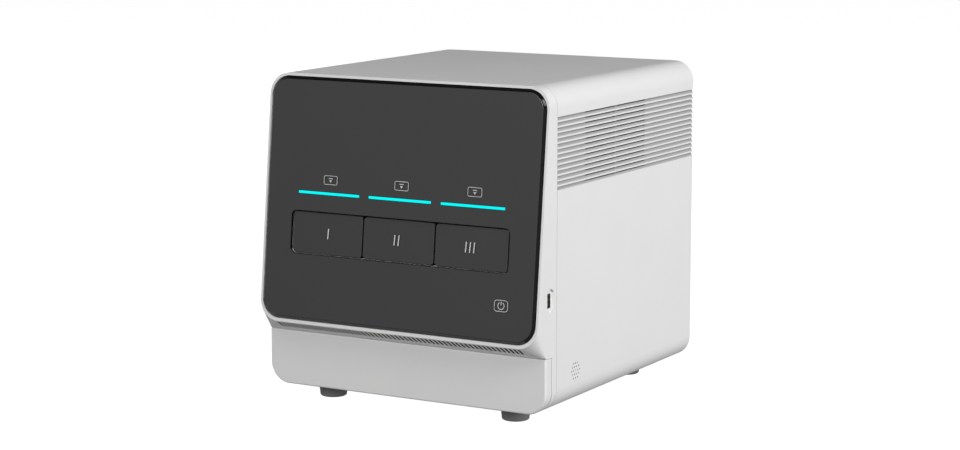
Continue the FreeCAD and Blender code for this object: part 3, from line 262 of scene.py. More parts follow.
def darken_grooves_as_painted_shade(tree, place, colour):
    """The colour itself on the outside, and a darker one down in the grooves of the side walls: painted shade."""
    axes = add_node(tree, "ShaderNodeSeparateXYZ", {"Vector": place})
    height = axes.outputs["Z"]
    reach = add_node(tree, "ShaderNodeMath", {0: axes.outputs["X"]}, operation="ABSOLUTE").outputs[0]
    shade = add_node(tree, "ShaderNodeMapRange",
                     {"Value": reach, "From Min": groove_floor * mm, "From Max": groove_mouth * mm,
                      "To Min": groove_floor_shade, "To Max": groove_mouth_shade})
    solid = add_node(tree, "ShaderNodeMapRange",
                     {"Value": reach, "From Min": slot_inner_end * mm, "From Max": slot_outer_end * mm,
                      "To Min": slot_shade, "To Max": 1.0}).outputs["Result"]
    shade = add_node(tree, "ShaderNodeMath", {0: shade.outputs["Result"], 1: solid}, operation="MULTIPLY")
    below = add_node(tree, "ShaderNodeMath", {0: reach, 1: outer_face_starts * mm}, operation="LESS_THAN")
    over = add_node(tree, "ShaderNodeMath", {0: height, 1: grooves_bottom * mm}, operation="GREATER_THAN")
    under = add_node(tree, "ShaderNodeMath", {0: height, 1: grooves_top * mm}, operation="LESS_THAN")
    band = add_node(tree, "ShaderNodeMath", {0: over.outputs[0], 1: under.outputs[0]}, operation="MULTIPLY")
    inside = add_node(tree, "ShaderNodeMath", {0: band.outputs[0], 1: below.outputs[0]},
                      operation="MULTIPLY").outputs[0]
    factor = add_node(tree, "ShaderNodeMix", {"Factor": inside, "A": 1.0, "B": shade.outputs[0]},
                      data_type="FLOAT").outputs[0]
    return add_node(tree, "ShaderNodeVectorMath", {0: colour, "Scale": factor}, operation="SCALE").outputs[0]


# The case's finish, with painted shade in its grooves and slots.
abs_with_painted_groove_shade = patchy_finish("spark_eroded_abs_painted_groove_shade", shade=darken_grooves_as_painted_shade, **abs_look)

# %% [markdown]
# ## Front panel: back-printed acrylic
# A clear acrylic sheet is printed in a dark grey on its back, so the eye sees the print under a smooth,
# slightly soft gloss.

# %% Black acrylic
black_acrylic = patchy_finish("back_printed_black_acrylic", colours=("#424243", "#3F3F40"), patch=90.0,
                              roughness=(0.2, 0.26), rough_patch=45.0,
                              IOR=1.49, Coat_Weight=0.3, Coat_Roughness=0.03, Coat_IOR=1.49)

# %% [markdown]
# The panel's edge is milled and polished. Its much darker colour is painted shade: it goes only on the
# edges that face away from the studio's lights.

# %% Panel edge with painted shade
edge_shade_finish = patchy_finish("black_acrylic_edge_painted_shade", colours=("#161617", "#121213"), patch=30.0,
                              roughness=(0.1, 0.16), rough_patch=20.0, IOR=1.49)

# %% [markdown]
# ## Drawer fronts: satin black ABS
# The drawer fronts are moulded in a black ABS that matches the panel's dark grey. Their gloss is a little
# softer than the panel's.

# %% Black ABS
black_abs = patchy_finish("satin_black_abs", colours=("#414142", "#3E3E3F"), patch=40.0,
                          roughness=(0.28, 0.34), rough_patch=25.0, grain=0.8, depth=0.01, strength=0.2, IOR=1.53)

# %% [markdown]
# ## Light bars and print
# Each bar is an acrylic light pipe with cyan light-emitting diodes behind it, so it glows evenly. The signs
# are screen printed in light grey ink with a matt, slightly uneven film.

# %% Lit light pipe and ink
lit_pipe, tree, shader, place = new_material("lit_cyan_light_pipe")
set_sockets(shader, IOR=1.49, Roughness=0.3, Specular_IOR_Level=0.1, Emission_Strength=1.0)
tree.links.new(mottled(tree, place, "#003A3C", "#003436", patch=8.0), shader.inputs["Base Color"])
tree.links.new(mottled(tree, place, "#00FFFF", "#00F9FC", patch=8.0), shader.inputs["Emission Color"])

print_ink = patchy_finish("screen_printed_grey_ink", colours=("#D6D6D6", "#CFCFD0"), patch=1.5,
                          roughness=(0.5, 0.62), rough_patch=1.0, IOR=1.5)

# %% [markdown]
# ## Rear sheet: powder-coated steel
# The rear of the case is a steel sheet with a baked powder coat, which melts into a low orange peel about a
# millimetre across. It is an epoxy film, with an IOR near 1.55.

# %% Powder-coated steel
powder_coat = patchy_finish("powder_coated_steel", colours=("#C9CACB", "#C4C5C6"), patch=45.0,
                            roughness=(0.44, 0.54), rough_patch=18.0, grain=1.2, depth=0.03, strength=0.6,
                            IOR=1.55)

# %% [markdown]
# ## Folded parts: zinc-plated steel
# The floor plate, the cradle and the drawers are folded from zinc-plated sheet. Bright zinc keeps the faint
# bluish patches of its plating bath, a few centimetres across.

# %% Zinc plate
zinc_plate = patchy_finish("zinc_plated_steel", colours=("#B9BDC1", "#A9AEB4"), patch=22.0,
                           roughness=(0.3, 0.44), rough_patch=14.0, grain=0.7, depth=0.01, strength=0.3,
                           Metallic=1.0)

# %% [markdown]
# ## Nickel plate
# The socket shells and the screws are nickel plated. Nickel is a little warmer than steel and nearly
# mirror bright, with fine drawing marks.

# %% Nickel plate
nickel = patchy_finish("nickel_plated_steel", colours=("#CFCBC2", "#C2BEB6"), patch=4.0,
                       roughness=(0.22, 0.34), rough_patch=3.0, grain=0.5, depth=0.005, strength=0.4,
                       Metallic=1.0)

# %% [markdown]
# ## Milled and extruded aluminium
# The sample blocks, the lids and the rod blocks are milled and bead blasted, which leaves an even satin. The
# heat sinks are extruded, so their grain runs along the fins, which is along Y. A noise that is drawn out
# along that direction makes the lines.

# %% Aluminium finishes
milled_aluminium = patchy_finish("bead_blasted_aluminium", colours=("#C8C9CB", "#BEBFC2"), patch=12.0,
                                 roughness=(0.36, 0.48), rough_patch=6.0, grain=0.4, depth=0.01, strength=0.5,
                                 Metallic=1.0)
extruded_aluminium = patchy_finish("extruded_aluminium", colours=("#B4B6B9", "#A6A8AB"), patch=0.8,
                                   roughness=(0.34, 0.5), rough_patch=0.6, grain=0.5, depth=0.01, strength=0.6,
                                   pattern_scale=(1.0, 0.02, 1.0), Metallic=1.0)

# %% [markdown]
# ## Ceramic, acetal, brass and ground steel
# The Peltier plates have white alumina faces. The runners and racks are acetal, which looks milky and waxy.
# The pinions are brass. The rods and pins are ground steel, whose fine marks run around them.

# %% Small engineering finishes
alumina = patchy_finish("white_alumina_ceramic", colours=("#EFEDE6", "#E6E4DC"), patch=6.0,
                        roughness=(0.5, 0.6), rough_patch=3.0, IOR=1.76)
acetal = patchy_finish("natural_acetal", colours=("#EAE8DF", "#E2E0D6"), patch=9.0,
                       roughness=(0.38, 0.46), rough_patch=5.0,
                       IOR=1.48, Subsurface_Weight=0.08, Subsurface_Scale=0.002)
brass = patchy_finish("cut_brass", colours=("#D9B569", "#C9A45A"), patch=3.0,
                      roughness=(0.24, 0.36), rough_patch=2.0, Metallic=1.0)
ground_steel = patchy_finish("ground_steel", colours=("#CBCCCE", "#BDBEC1"), patch=0.7,
                             roughness=(0.14, 0.26), rough_patch=0.7, pattern_scale=(1.0, 0.1, 0.1), Metallic=1.0)

# %% [markdown]
# ## Black finishes
# The motors are enamelled, the fans and the ports are moulded in glass-filled nylon, the reading head is
# anodised so that it scatters no light, and the belt and the feet are rubber. Each black has its own shine.

# %% Enamel, nylon, anodised aluminium and rubber
motor_enamel = patchy_finish("black_motor_enamel", colours=("#26272A", "#202124"), patch=10.0,
                             roughness=(0.3, 0.4), rough_patch=6.0, grain=0.9, depth=0.02, strength=0.5, IOR=1.52)
black_nylon = patchy_finish("glass_filled_black_nylon", colours=("#232324", "#1D1D1E"), patch=5.0,
                            roughness=(0.46, 0.6), rough_patch=4.0, grain=0.6, depth=0.02, strength=0.6, IOR=1.53)
anodised_black = patchy_finish("black_anodised_aluminium", colours=("#2A2B2F", "#222327"), patch=8.0,
                               roughness=(0.4, 0.5), rough_patch=5.0, Metallic=0.6)
belt_rubber = patchy_finish("moulded_neoprene", colours=("#1B1B1B", "#151515"), patch=4.0,
                            roughness=(0.62, 0.74), rough_patch=3.0, IOR=1.55)
foot_rubber = patchy_finish("moulded_grey_black_rubber", colours=("#7A7A7A", "#727273"), patch=7.0,
                            roughness=(0.5, 0.62), rough_patch=4.0, grain=0.7, depth=0.03, strength=0.5, IOR=1.52)

# %% [markdown]
# A near-black sheet sits in the intake slots under the lip and behind the louvres' slots. It is painted
# shade that stands for the shade inside the slots. Its colour and relief vary about every half millimetre.

# %% Near-black sheet for painted shade in the slots
slot_shade_sheet_finish = patchy_finish("near_black_sheet_painted_slot_shade", colours=("#181818", "#121212"), patch=0.5,
                            roughness=(0.85, 0.95), rough_patch=1.0, grain=0.5, depth=0.2,
                            IOR=1.5, Specular_IOR_Level=0.2)

# %% [markdown]
# ## Circuit boards
# A board is glass cloth under a green solder mask. The weave shows through it as a fine check, about half a
# millimetre across, and is drawn at 1.2 mm so that it shows.

# %% Solder mask
weave_size = 1.2

solder_mask, tree, shader, place = new_material("green_solder_mask")
set_sockets(shader, IOR=1.5)
weave = add_node(tree, "ShaderNodeTexChecker", {"Vector": place, "Scale": 1.0 / (weave_size * mm),
                                                "Color1": linear("#1F5A36"), "Color2": linear("#1B5231")})
tree.links.new(weave.outputs["Color"], shader.inputs["Base Color"])
tree.links.new(wandering(tree, place, 0.26, 0.36, patch=8.0), shader.inputs["Roughness"])

# %% [markdown]
# ## Dressing the CAD pieces
# Each node has one material slot, and its new finish goes into that slot. The mesh stays as it is.

# %% Finish of every CAD piece
drawers = (1, 2, 3)
dressing = {
    white_abs: ["front_shroud", "lower_fascia"],
    # The case takes the finish with painted shade in its grooves.
    abs_with_painted_groove_shade: ["enclosure_sleeve"],
    black_acrylic: ["front_panel"],
    black_abs: [f"drawer_front_{i}" for i in drawers],
    lit_pipe: ["status_light_bars"],
    powder_coat: ["rear_panel"],
    zinc_plate: ["base_plate", "module_frame", "optics_deck", "power_supply"]
                + [f"drawer_tray_{i}" for i in drawers],
    nickel: ["usb_port", "network_port"],
    milled_aluminium: ["rod_supports", "belt_idler_pulley", "belt_drive_pulley"]
                      + [f"sample_block_{i}" for i in drawers] + [f"heated_lid_{i}" for i in drawers],
    extruded_aluminium: [f"heat_sink_{i}" for i in drawers],
    alumina: [f"peltier_plate_{i}" for i in drawers],
    acetal: ["drawer_runners"] + [f"drawer_rack_{i}" for i in drawers],
    brass: [f"drive_pinion_{i}" for i in drawers],
    ground_steel: ["optics_rods", "lid_guide_pins"],
    motor_enamel: ["drawer_motors", "optics_motor"],
    black_nylon: ["fan_frames", "fan_rotor_left", "fan_rotor_right", "mains_inlet", "power_switch_body",
                  "power_rocker", "speaker"],
    anodised_black: ["optics_head"],
    belt_rubber: ["optics_belt"],
    foot_rubber: ["rubber_feet"],
    solder_mask: ["touch_board", "mainboard"],
}
dressed = set()
for finish, names in dressing.items():
    for name in names:
        if not nodes[name].material_slots:
            nodes[name].data.materials.append(finish)
        for slot in nodes[name].material_slots:
            slot.material = finish
        dressed.add(name)
print("dressed", len(dressed), "of", len(nodes), "left", sorted(set(nodes) - dressed))

# %% [markdown]
# ## The leaning front
# Everything printed on the front lies in one plane that leans back by 6 degrees. A print is drawn flat on
# the world's XY plane, where the operators are simple, and is then stood up by one matrix. Heights are
# measured from the underside of the case.

# %% Frame of the leaning front
lean = math.radians(6.0)
case_underside = 14.5
lip_height = 64.0
lip_edge = Vector((0.0, cad_low.y / mm, case_underside + lip_height))
front_right = Vector((1.0, 0.0, 0.0))
front_up = Vector((0.0, math.sin(lean), math.cos(lean)))
front_out = Vector((0.0, -math.cos(lean), math.sin(lean)))
glass_face = 1.8
drawer_face = 0.2


def on_front(x, height, out):
    """Matrix from a drawing in millimetres, flat on XY, to its place on the leaning front."""
    up = (height - lip_height) / math.cos(lean)
    spot = (lip_edge + front_right * x + front_up * up + front_out * out) * mm
    turn = Matrix((front_right, front_up, front_out)).transposed().to_4x4()
    return Matrix.Translation(spot) @ turn @ Matrix.Scale(mm, 4)


def stand_on_front(piece, x, height, out):
    piece.matrix_world = on_front(x, height, out)
    apply_place(piece)


def finished(piece, name, finish, body):
    """Name a piece, dress it, and let it ride on its body."""
    piece.name = name
    piece.data.name = name
    piece.data.materials.clear()
    piece.data.materials.append(finish)
    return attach(piece, body)


print("lip edge at", [round(c, 3) for c in lip_edge])

# %% [markdown]
# ## Printed key outlines
# Each touch key is a thin rounded outline of ink. A plane gets its corners rounded by a vertex bevel, an
# inset makes the stroke, and the inner face is deleted. A very small extrude gives the film its thickness.

# %% Key outlines
ink_film = 0.04
bar_corner_share = 0.25


def thicken(depth):
    bpy.ops.mesh.select_all(action="SELECT")
    bpy.ops.mesh.extrude_region_move(TRANSFORM_OT_translate={"value": (0, 0, depth)})
    bpy.ops.mesh.select_all(action="SELECT")
    bpy.ops.mesh.normals_make_consistent(inside=False)
    leave_edit()


def flat_plate(width, height):
    """A flat rectangle, open in edit mode with all of it selected."""
    deselect()
    bpy.ops.mesh.primitive_plane_add(size=1)
    piece = bpy.context.object
    piece.scale = (width, height, 1)
    apply_place(piece)
    edit_all()
    return piece


def rounded_outline(width, height, corner, stroke):
    piece = flat_plate(width, height)
    bpy.ops.mesh.bevel(offset=corner, segments=6, affect="VERTICES")
    bpy.ops.mesh.select_all(action="SELECT")
    bpy.ops.mesh.inset(thickness=stroke)
    bpy.ops.mesh.delete(type="FACE")
    thicken(ink_film)
    return piece


def ink_bar(width, height, x=0.0, y=0.0, tilt=0.0):
    """A straight stroke of ink with softened corners."""
    piece = flat_plate(width, height)
    bpy.ops.mesh.bevel(offset=min(width, height) * bar_corner_share, segments=2, affect="VERTICES")
    thicken(ink_film)
    piece.rotation_euler.z = tilt
    piece.location = (x, y, 0)
    apply_place(piece)
    return piece


def joined(pieces):
    if len(pieces) == 1:
        return pieces[0]
    deselect()
    for piece in pieces:
        piece.select_set(True)
    bpy.context.view_layer.objects.active = pieces[0]
    bpy.ops.object.join()
    return bpy.context.object


# %% [markdown]
# The sign in each key above a drawer is a bar over a solid triangle that points down, which is the common
# sign for a tray that opens. The triangle is a three-sided circle.

# %% Tray keys
module_places = (-77.7, 0.0, 77.7)
key_stroke = 0.5
tray_key_size = (15.0, 8.6)
tray_key_corner = 1.7
tray_key_height = 201.0
tray_key_shift = 2.3
sign_bar_size = (4.6, 0.7)
sign_bar_rise = 1.5
arrow_radius = 1.9
arrow_drop = 0.8
arrow_scale = (0.95, 0.8, 1)


def tray_sign():
    bar = ink_bar(*sign_bar_size, y=sign_bar_rise)
    deselect()
    bpy.ops.mesh.primitive_circle_add(vertices=3, radius=arrow_radius, fill_type="NGON",
                                      location=(0, -arrow_drop, 0), rotation=(0, 0, math.pi))
    arrow = bpy.context.object
    arrow.scale = arrow_scale
    apply_place(arrow)
    edit_all()
    thicken(ink_film)
    return [bar, arrow]


for number, x in zip(drawers, module_places):
    outline = rounded_outline(*tray_key_size, tray_key_corner, key_stroke)
    key = joined([outline] + tray_sign())
    stand_on_front(key, x + tray_key_shift, tray_key_height, glass_face)
    finished(key, f"tray_key_print_{number}", print_ink, "case")

# %% [markdown]
# ## Power key
# The power sign is a ring that is open at its top, with an upright bar in the opening. The ring is spun
# from a short line.

# %% Power key
power_key_size = (14.3, 10.6)
power_key_corner = 3.0
power_key_x = 113.0
power_key_height = 101.4
ring_radius = 3.2
ring_stroke = 0.75
ring_gap_degrees = 62
ring_steps = 36
power_bar_size = (0.8, 3.6)
power_bar_rise = 2.1


def open_ring(radius, stroke, gap_degrees):
    deselect()
    bpy.ops.mesh.primitive_plane_add(size=1, location=(0, 0, 0))
    piece = bpy.context.object
    edit_all()
    bpy.ops.mesh.merge(type="CENTER")
    bpy.ops.transform.translate(value=(0, radius - stroke / 2, 0))
    bpy.ops.mesh.extrude_region_move(TRANSFORM_OT_translate={"value": (0, stroke, 0)})
    bpy.ops.mesh.select_all(action="SELECT")
    half_gap = math.radians(gap_degrees / 2)
    bpy.ops.transform.rotate(value=half_gap, orient_axis="Z", center_override=(0, 0, 0))
    bpy.ops.mesh.spin(steps=ring_steps, angle=2 * (math.pi - half_gap), center=(0, 0, 0), axis=(0, 0, 1))
    bpy.ops.mesh.select_all(action="SELECT")
    bpy.ops.mesh.remove_doubles(threshold=0.001)
    thicken(ink_film)
    return piece


power_key = joined([rounded_outline(*power_key_size, power_key_corner, key_stroke),
                    open_ring(ring_radius, ring_stroke, ring_gap_degrees),
                    ink_bar(*power_bar_size, y=power_bar_rise)])
stand_on_front(power_key, power_key_x, power_key_height, glass_face)
finished(power_key, "power_key_print", print_ink, "case")

# %% [markdown]
# ## Drawer numerals
# Each drawer front carries its number in plain Roman strokes. The strokes move with the drawer, so they ride
# on its body.

# %% Numerals
numeral_length = 9.8
numeral_stroke = 1.15
numeral_pitch = 4.3
numeral_tilt = math.radians(-4.0)
numeral_shifts = (1.3, -1.2, -0.7)
numeral_height = 150.8
for number, x, shift in zip(drawers, module_places, numeral_shifts):
    start = -(number - 1) * numeral_pitch / 2
    strokes = [ink_bar(numeral_stroke, numeral_length, start + k * numeral_pitch, 0, numeral_tilt)
               for k in range(number)]
    numeral = joined(strokes)
    stand_on_front(numeral, x + shift, numeral_height, drawer_face)
    finished(numeral, f"drawer_numeral_{number}", print_ink, f"drawer_{number}")

# %% [markdown]
# ## Softened edges
# A moulded or polished edge is never quite sharp, and its small radius is what draws a bright line along it. A
# merged copy of each front piece gets its sharp edges rounded by a bevel, and stands for the CAD piece.

# %% Rounded copies of the front pieces
same_corner = 0.000005
bevel_from_degrees = 38.0
smooth_below_degrees = 32.0
flat_within_degrees = 0.5


def merged_copy(name, copy_name):
    """A copy of a CAD piece whose faces share their corners."""
    piece = bpy.data.objects.new(copy_name, nodes[name].data.copy())
    bpy.context.scene.collection.objects.link(piece)
    pick(piece)
    edit_all()
    bpy.ops.mesh.remove_doubles(threshold=same_corner)
    bpy.ops.mesh.normals_make_consistent(inside=False)
    leave_edit()
    return piece


def merge_flat_faces(piece, degrees):
    """Dissolve the edges between faces that lie in one plane."""
    pick(piece)
    edit_all()
    bpy.ops.mesh.dissolve_limited(angle_limit=math.radians(degrees))
    leave_edit()


def smooth_but_flat(piece, degrees):
    """Smooth shading below an angle, with the large flat faces kept flat."""
    pick(piece)
    bpy.ops.object.shade_smooth_by_angle(angle=math.radians(degrees))
    apply_modifier(piece, "WEIGHTED_NORMAL", keep_sharp=True)


def softened(name, radius, body, finish):
    """A merged copy of a CAD piece whose sharp edges have a small radius in millimetres."""
    piece = merged_copy(name, f"soft_{name}")
    merge_flat_faces(piece, flat_within_degrees)
    apply_modifier(piece, "BEVEL", width=radius * mm, segments=2, limit_method="ANGLE",
                   angle_limit=math.radians(bevel_from_degrees), use_clamp_overlap=False)
    smooth_but_flat(piece, smooth_below_degrees)
    finished(piece, f"soft_{name}", finish, body)
    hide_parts(name)
    print("softened", name, len(piece.data.polygons), "faces")
    return piece


softened("lower_fascia", radius=0.5, body="case", finish=white_abs)
panel = softened("front_panel", radius=0.4, body="case", finish=black_acrylic)
for number in drawers:
    softened(f"drawer_front_{number}", radius=0.6, body=f"drawer_{number}", finish=black_abs)

# %% [markdown]
# The panel's face keeps the printed look. Its edges get the darker colour of painted shade, apart from two
# that catch the studio's light and keep the face's colour: the ledge at the bottom of the drawers' opening,
# and the underside of the panel.

# %% Painted shade on the panel's edges
faces_front = 0.97
faces_up = 0.4
faces_down = -0.6
opening_bottom = 140.0
opening_top = 190.0

panel.data.materials.append(edge_shade_finish)
for face in panel.data.polygons:
    rise = face.normal.dot(front_up)
    in_opening = opening_bottom * mm < face.center.z < opening_top * mm
    lit_edge = rise > faces_up if in_opening else rise < faces_down
    # An edge that faces away from the lights takes the darker colour: painted shade.
    if face.normal.dot(front_out) < faces_front and not lit_edge:
        face.material_index = 1

# %% [markdown]
# ## Intake slots and their painted shade
# The slots are cut across the slope under the lip. One cutter block is placed at the first slot, an array
# repeats it for the other 56, and the row is tipped to the slope. A merged copy of the shroud is cut by the
# row. The same row, a little smaller, is a near-black sheet in the slots: painted shade for their insides.

# %% Slots and their painted shade
slot_count = 57
slot_pitch = 4.66
slot_width = 2.5
slot_start = 2.0
slot_length = 11.4
cut_from = -2.0
cut_to = 4.2
shade_sheet_sunk = 0.12
shade_sheet_depth = 2.2
shade_sheet_gap = 0.01
lip_corner = Vector((0.0, -163.0218, 78.5))
slope_drop = 11.0
slope_run = 17.6
slope_angle = math.atan2(slope_drop, slope_run)


def slot_row(gap, start, end):
    """A row of blocks in the slots, from one depth under the slope's outer face to another."""
    deselect()
    bpy.ops.mesh.primitive_cube_add(size=1)
    block = bpy.context.object
    block.scale = (slot_width - 2 * gap, slot_length - 2 * gap, end - start)
    block.location = (-(slot_count - 1) / 2 * slot_pitch, slot_start + slot_length / 2, (start + end) / 2)
    apply_place(block)
    apply_modifier(block, "ARRAY", count=slot_count, use_relative_offset=False, use_constant_offset=True,
                   constant_offset_displace=(slot_pitch, 0.0, 0.0))
    block.matrix_world = (Matrix.Translation(lip_corner * mm) @ Matrix.Rotation(-slope_angle, 4, "X")
                          @ Matrix.Scale(mm, 4))
    apply_place(block)
    return block


def cut_by(piece, cutter):
    """Cut one piece by another, which is used up."""
    apply_modifier(piece, "BOOLEAN", operation="DIFFERENCE", solver="EXACT", object=cutter)
    bpy.data.objects.remove(cutter)


slotted = merged_copy("front_shroud", "slotted_shroud")
cut_by(slotted, slot_row(0.0, cut_from, cut_to))
merge_flat_faces(slotted, degrees=0.3)
smooth_but_flat(slotted, degrees=30.0)
finished(slotted, "slotted_shroud", white_abs, "case")
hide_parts("front_shroud")
print("slotted shroud", len(slotted.data.polygons), "faces")

# Near-black blocks in the slots: painted shade for the slots' insides.
intake_shade_sheet = slot_row(shade_sheet_gap, shade_sheet_sunk, shade_sheet_sunk + shade_sheet_depth)
finished(intake_shade_sheet, "intake_slots_painted_shade", slot_shade_sheet_finish, "case")

# %% [markdown]
# ## Painted shade behind the louvres
# A thin near-black sheet lies against the inner face of each side wall, behind the louvres' slots. It is
# painted shade for the slots' insides.

# %% Near-black sheets behind the louvres
case_half = 150.0
case_wall = 3.6
louvre_sheet_gap = 0.05
louvre_sheet_thickness = 0.8
louvre_sheet_front = -71.0
louvre_sheet_back = 59.0
louvre_sheet_bottom = 212.0
louvre_sheet_top = 287.0
louvre_shade_sheets = []
# Each screen below is a near-black sheet: painted shade behind the louvres.
for side in (-1, 1):
    deselect()
    bpy.ops.mesh.primitive_cube_add(size=1)
    screen = bpy.context.object
    screen.scale = Vector((louvre_sheet_thickness, louvre_sheet_back - louvre_sheet_front, louvre_sheet_top - louvre_sheet_bottom)) * mm
    screen.location = Vector((side * (case_half - case_wall - louvre_sheet_gap - louvre_sheet_thickness / 2),
                              (louvre_sheet_front + louvre_sheet_back) / 2, (louvre_sheet_bottom + louvre_sheet_top) / 2)) * mm
    apply_place(screen)
    louvre_shade_sheets.append(screen)
finished(joined(louvre_shade_sheets), "louvre_slots_painted_shade", slot_shade_sheet_finish, "case")

# %% [markdown]
# ## Rubber feet
# The solids of the feet have flat sides. The real ones are turned cones with a rounded sole. A rim is rounded
# by selecting its edges by their height and bevelling them.

# %% Feet
foot_radius = 14.3
sole_radius = 12.7
sole_rounding = 1.8
cad_foot_radius = 13.6
smooth_rim_degrees = 40


def bevel_rim(piece, on_rim, offset, segments):
    """Round the edges of the active piece whose two ends pass a test on their height."""
    bpy.ops.object.mode_set(mode="EDIT")
    bpy.ops.mesh.select_all(action="DESELECT")
    leave_edit()
    for edge in piece.data.edges:
        edge.select = all(on_rim(piece.data.vertices[v].co.z) for v in edge.vertices)
    bpy.ops.object.mode_set(mode="EDIT")
    bpy.ops.mesh.bevel(offset=offset, segments=segments, affect="EDGES")
    leave_edit()


def rubber_foot(x, y, height):
    deselect()
    bpy.ops.mesh.primitive_cone_add(vertices=64, radius1=sole_radius * mm, radius2=foot_radius * mm,
                                    depth=height, location=(x, y, height / 2))
    foot = bpy.context.object
    bevel_rim(foot, lambda z: z < 0, sole_rounding * mm, segments=5)
    bpy.ops.object.shade_smooth_by_angle(angle=math.radians(smooth_rim_degrees))
    apply_place(foot)
    return foot


feet_low, feet_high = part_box("rubber_feet")
inset = cad_foot_radius * mm
foot_places = [(x, y) for x in (feet_low.x + inset, feet_high.x - inset)
               for y in (feet_low.y + inset, feet_high.y - inset)]
turned_feet = joined([rubber_foot(x, y, feet_high.z) for x, y in foot_places])
finished(turned_feet, "turned_feet", foot_rubber, "case")
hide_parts("rubber_feet")

# %% [markdown]
# ## Rear screws
# Eight pan-head screws hold the rear sheet. A cylinder's rim is bevelled into a dome, and two crossed blocks
# cut the slots of its cross recess. One screw is modelled and then copied, and each copy is turned a little
# further, because no two screws stop at the same angle.

# %% Rear screws
rear_face = 159.778
head_radius = 2.8
head_height = 1.9
head_rounding = 0.9
rim_above = 0.9
recess_size = (3.2, 0.62, 1.6)
screw_columns = (-132.0, 132.0)
screw_rows = (38.5, 122.0, 205.5, 289.0)
turn_per_mm = 0.02


def pan_screw():
    deselect()
    bpy.ops.mesh.primitive_cylinder_add(vertices=32, radius=head_radius, depth=head_height,
                                        location=(0, 0, head_height / 2))
    head = bpy.context.object
    bevel_rim(head, lambda z: z > rim_above, head_rounding, segments=4)
    recess = []
    for angle in (0, math.pi / 2):
        deselect()
        bpy.ops.mesh.primitive_cube_add(size=1, location=(0, 0, head_height), rotation=(0, 0, angle))
        block = bpy.context.object
        block.scale = recess_size
        apply_place(block)
        recess.append(block)
    for block in recess:
        cut_by(head, block)
    pick(head)
    bpy.ops.object.shade_smooth_by_angle(angle=math.radians(smooth_rim_degrees))
    return head


first_screw = pan_screw()
screws = []
for x in screw_columns:
    for z in screw_rows:
        screw = first_screw.copy()
        screw.data = first_screw.data.copy()
        bpy.context.scene.collection.objects.link(screw)
        lie = Matrix.Rotation(-math.pi / 2, 4, "X") @ Matrix.Rotation(turn_per_mm * (x + z), 4, "Z")
        screw.matrix_world = Matrix.Translation(Vector((x, rear_face, z)) * mm) @ lie @ Matrix.Scale(mm, 4)
        apply_place(screw)
        screws.append(screw)
bpy.data.objects.remove(first_screw)
print("rear screws", len(screws))
finished(joined(screws), "rear_screws", nickel, "case")

# %% [markdown]
# ## Studio floor
# The floor is plain and pale. It is a backlit opal sheet, as on a product photographer's light table, so the
# ground stays clean white under the machine. Diffuse and glossy rays pass through it, so the case sees neither
# its glow nor its mirror image. The light that it throws up at the case is part of the room light of the next
# cell. It reaches far past the camera's view.

# %% Floor
floor_glow = 0.98
floor_size = 60
floor_cells = 12

floor_finish = patchy_finish("backlit_opal_acrylic", colours=("#8C8C8C", "#888888"), patch=900.0,
                             roughness=(0.85, 0.95), rough_patch=500.0, IOR=1.4, Specular_IOR_Level=0.0,
                             Emission_Strength=floor_glow, Emission_Color=linear("#FFFFFF"))
deselect()
bpy.ops.mesh.primitive_grid_add(x_subdivisions=floor_cells, y_subdivisions=floor_cells, size=floor_size)
floor = bpy.context.object
floor.name = "studio_floor"
floor.data.materials.append(floor_finish)
floor.visible_diffuse = False
floor.visible_glossy = False

# %% [markdown]
# ## Room light and softboxes
# The room is brightest in a band at the horizon and dark overhead, so the upright walls are light and the
# flat top is darker. Below the horizon it is as bright as the pale floor would be. The numbers are strengths,
# and heights on a sky of radius one.

# %% Room light
floor_bounce = 0.22
horizon_light = 0.27
zenith_light = 0.0
floor_edge = -0.1
band_bottom = 0.1
band_top = 0.3

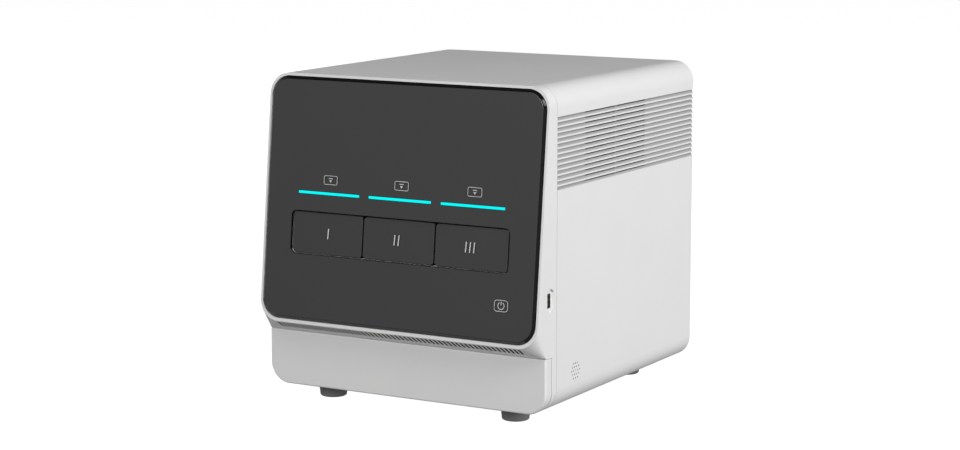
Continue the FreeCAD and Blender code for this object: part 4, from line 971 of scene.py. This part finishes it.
room = bpy.data.worlds.new("studio_room")
room.use_nodes = True
bpy.context.scene.world = room
tree = room.node_tree
tree.nodes.clear()
direction = add_node(tree, "ShaderNodeTexCoord").outputs["Generated"]
height = add_node(tree, "ShaderNodeSeparateXYZ", {"Vector": direction}).outputs["Z"]
low_sky = add_node(tree, "ShaderNodeMapRange", {"Value": height, "From Min": floor_edge, "From Max": band_bottom,
                                                "To Min": floor_bounce, "To Max": horizon_light})
rise = add_node(tree, "ShaderNodeMapRange", {"Value": height, "From Min": band_bottom, "From Max": band_top},
                interpolation_type="SMOOTHSTEP")
sky_light = add_node(tree, "ShaderNodeMix", {"Factor": rise.outputs["Result"], "A": low_sky.outputs["Result"],
                                             "B": zenith_light}, data_type="FLOAT")
sky = add_node(tree, "ShaderNodeBackground", {"Color": linear("#FFFFFF"), "Strength": sky_light.outputs[0]})
add_node(tree, "ShaderNodeOutputWorld", {"Surface": sky.outputs["Background"]})

# %% [markdown]
# Five softboxes do the rest. The key stands above the right side and draws the bright line along the rounded
# edge. The front and the high one light the front and the top, the side one lights the right wall, and the
# fill keeps the left side and the rear from going dark. Sizes are in metres, strengths in watts.

# %% Softboxes
def softbox(name, place, aim, width, height, watts):
    """An area light in metres and watts that faces a point."""
    data = bpy.data.lights.new(name, "AREA")
    data.shape = "RECTANGLE"
    data.size = width
    data.size_y = height
    data.energy = watts
    lamp = bpy.data.objects.new(name, data)
    lamp.location = place
    lamp.rotation_euler = (Vector(aim) - Vector(place)).to_track_quat("-Z", "Y").to_euler()
    bpy.context.scene.collection.objects.link(lamp)
    return lamp


middle = (0.0, 0.0, 0.15)
upper_middle = (0.0, 0.0, 0.2)
softbox("key_softbox", (2.2, -0.5, 1.9), aim=upper_middle, width=1.6, height=1.2, watts=34.0)
softbox("front_softbox", (0.3, -3.2, 1.5), aim=upper_middle, width=1.6, height=1.2, watts=55.5)
softbox("high_softbox", (-0.3, -2.2, 3.1), aim=middle, width=2.2, height=1.6, watts=22.171)
softbox("side_softbox", (3.2, 0.6, 0.6), aim=middle, width=1.6, height=1.2, watts=54.5)
softbox("fill_softbox", (-2.8, 1.7, 0.45), aim=middle, width=2.2, height=0.8, watts=50.0)
bpy.context.scene.view_settings.view_transform = "Standard"
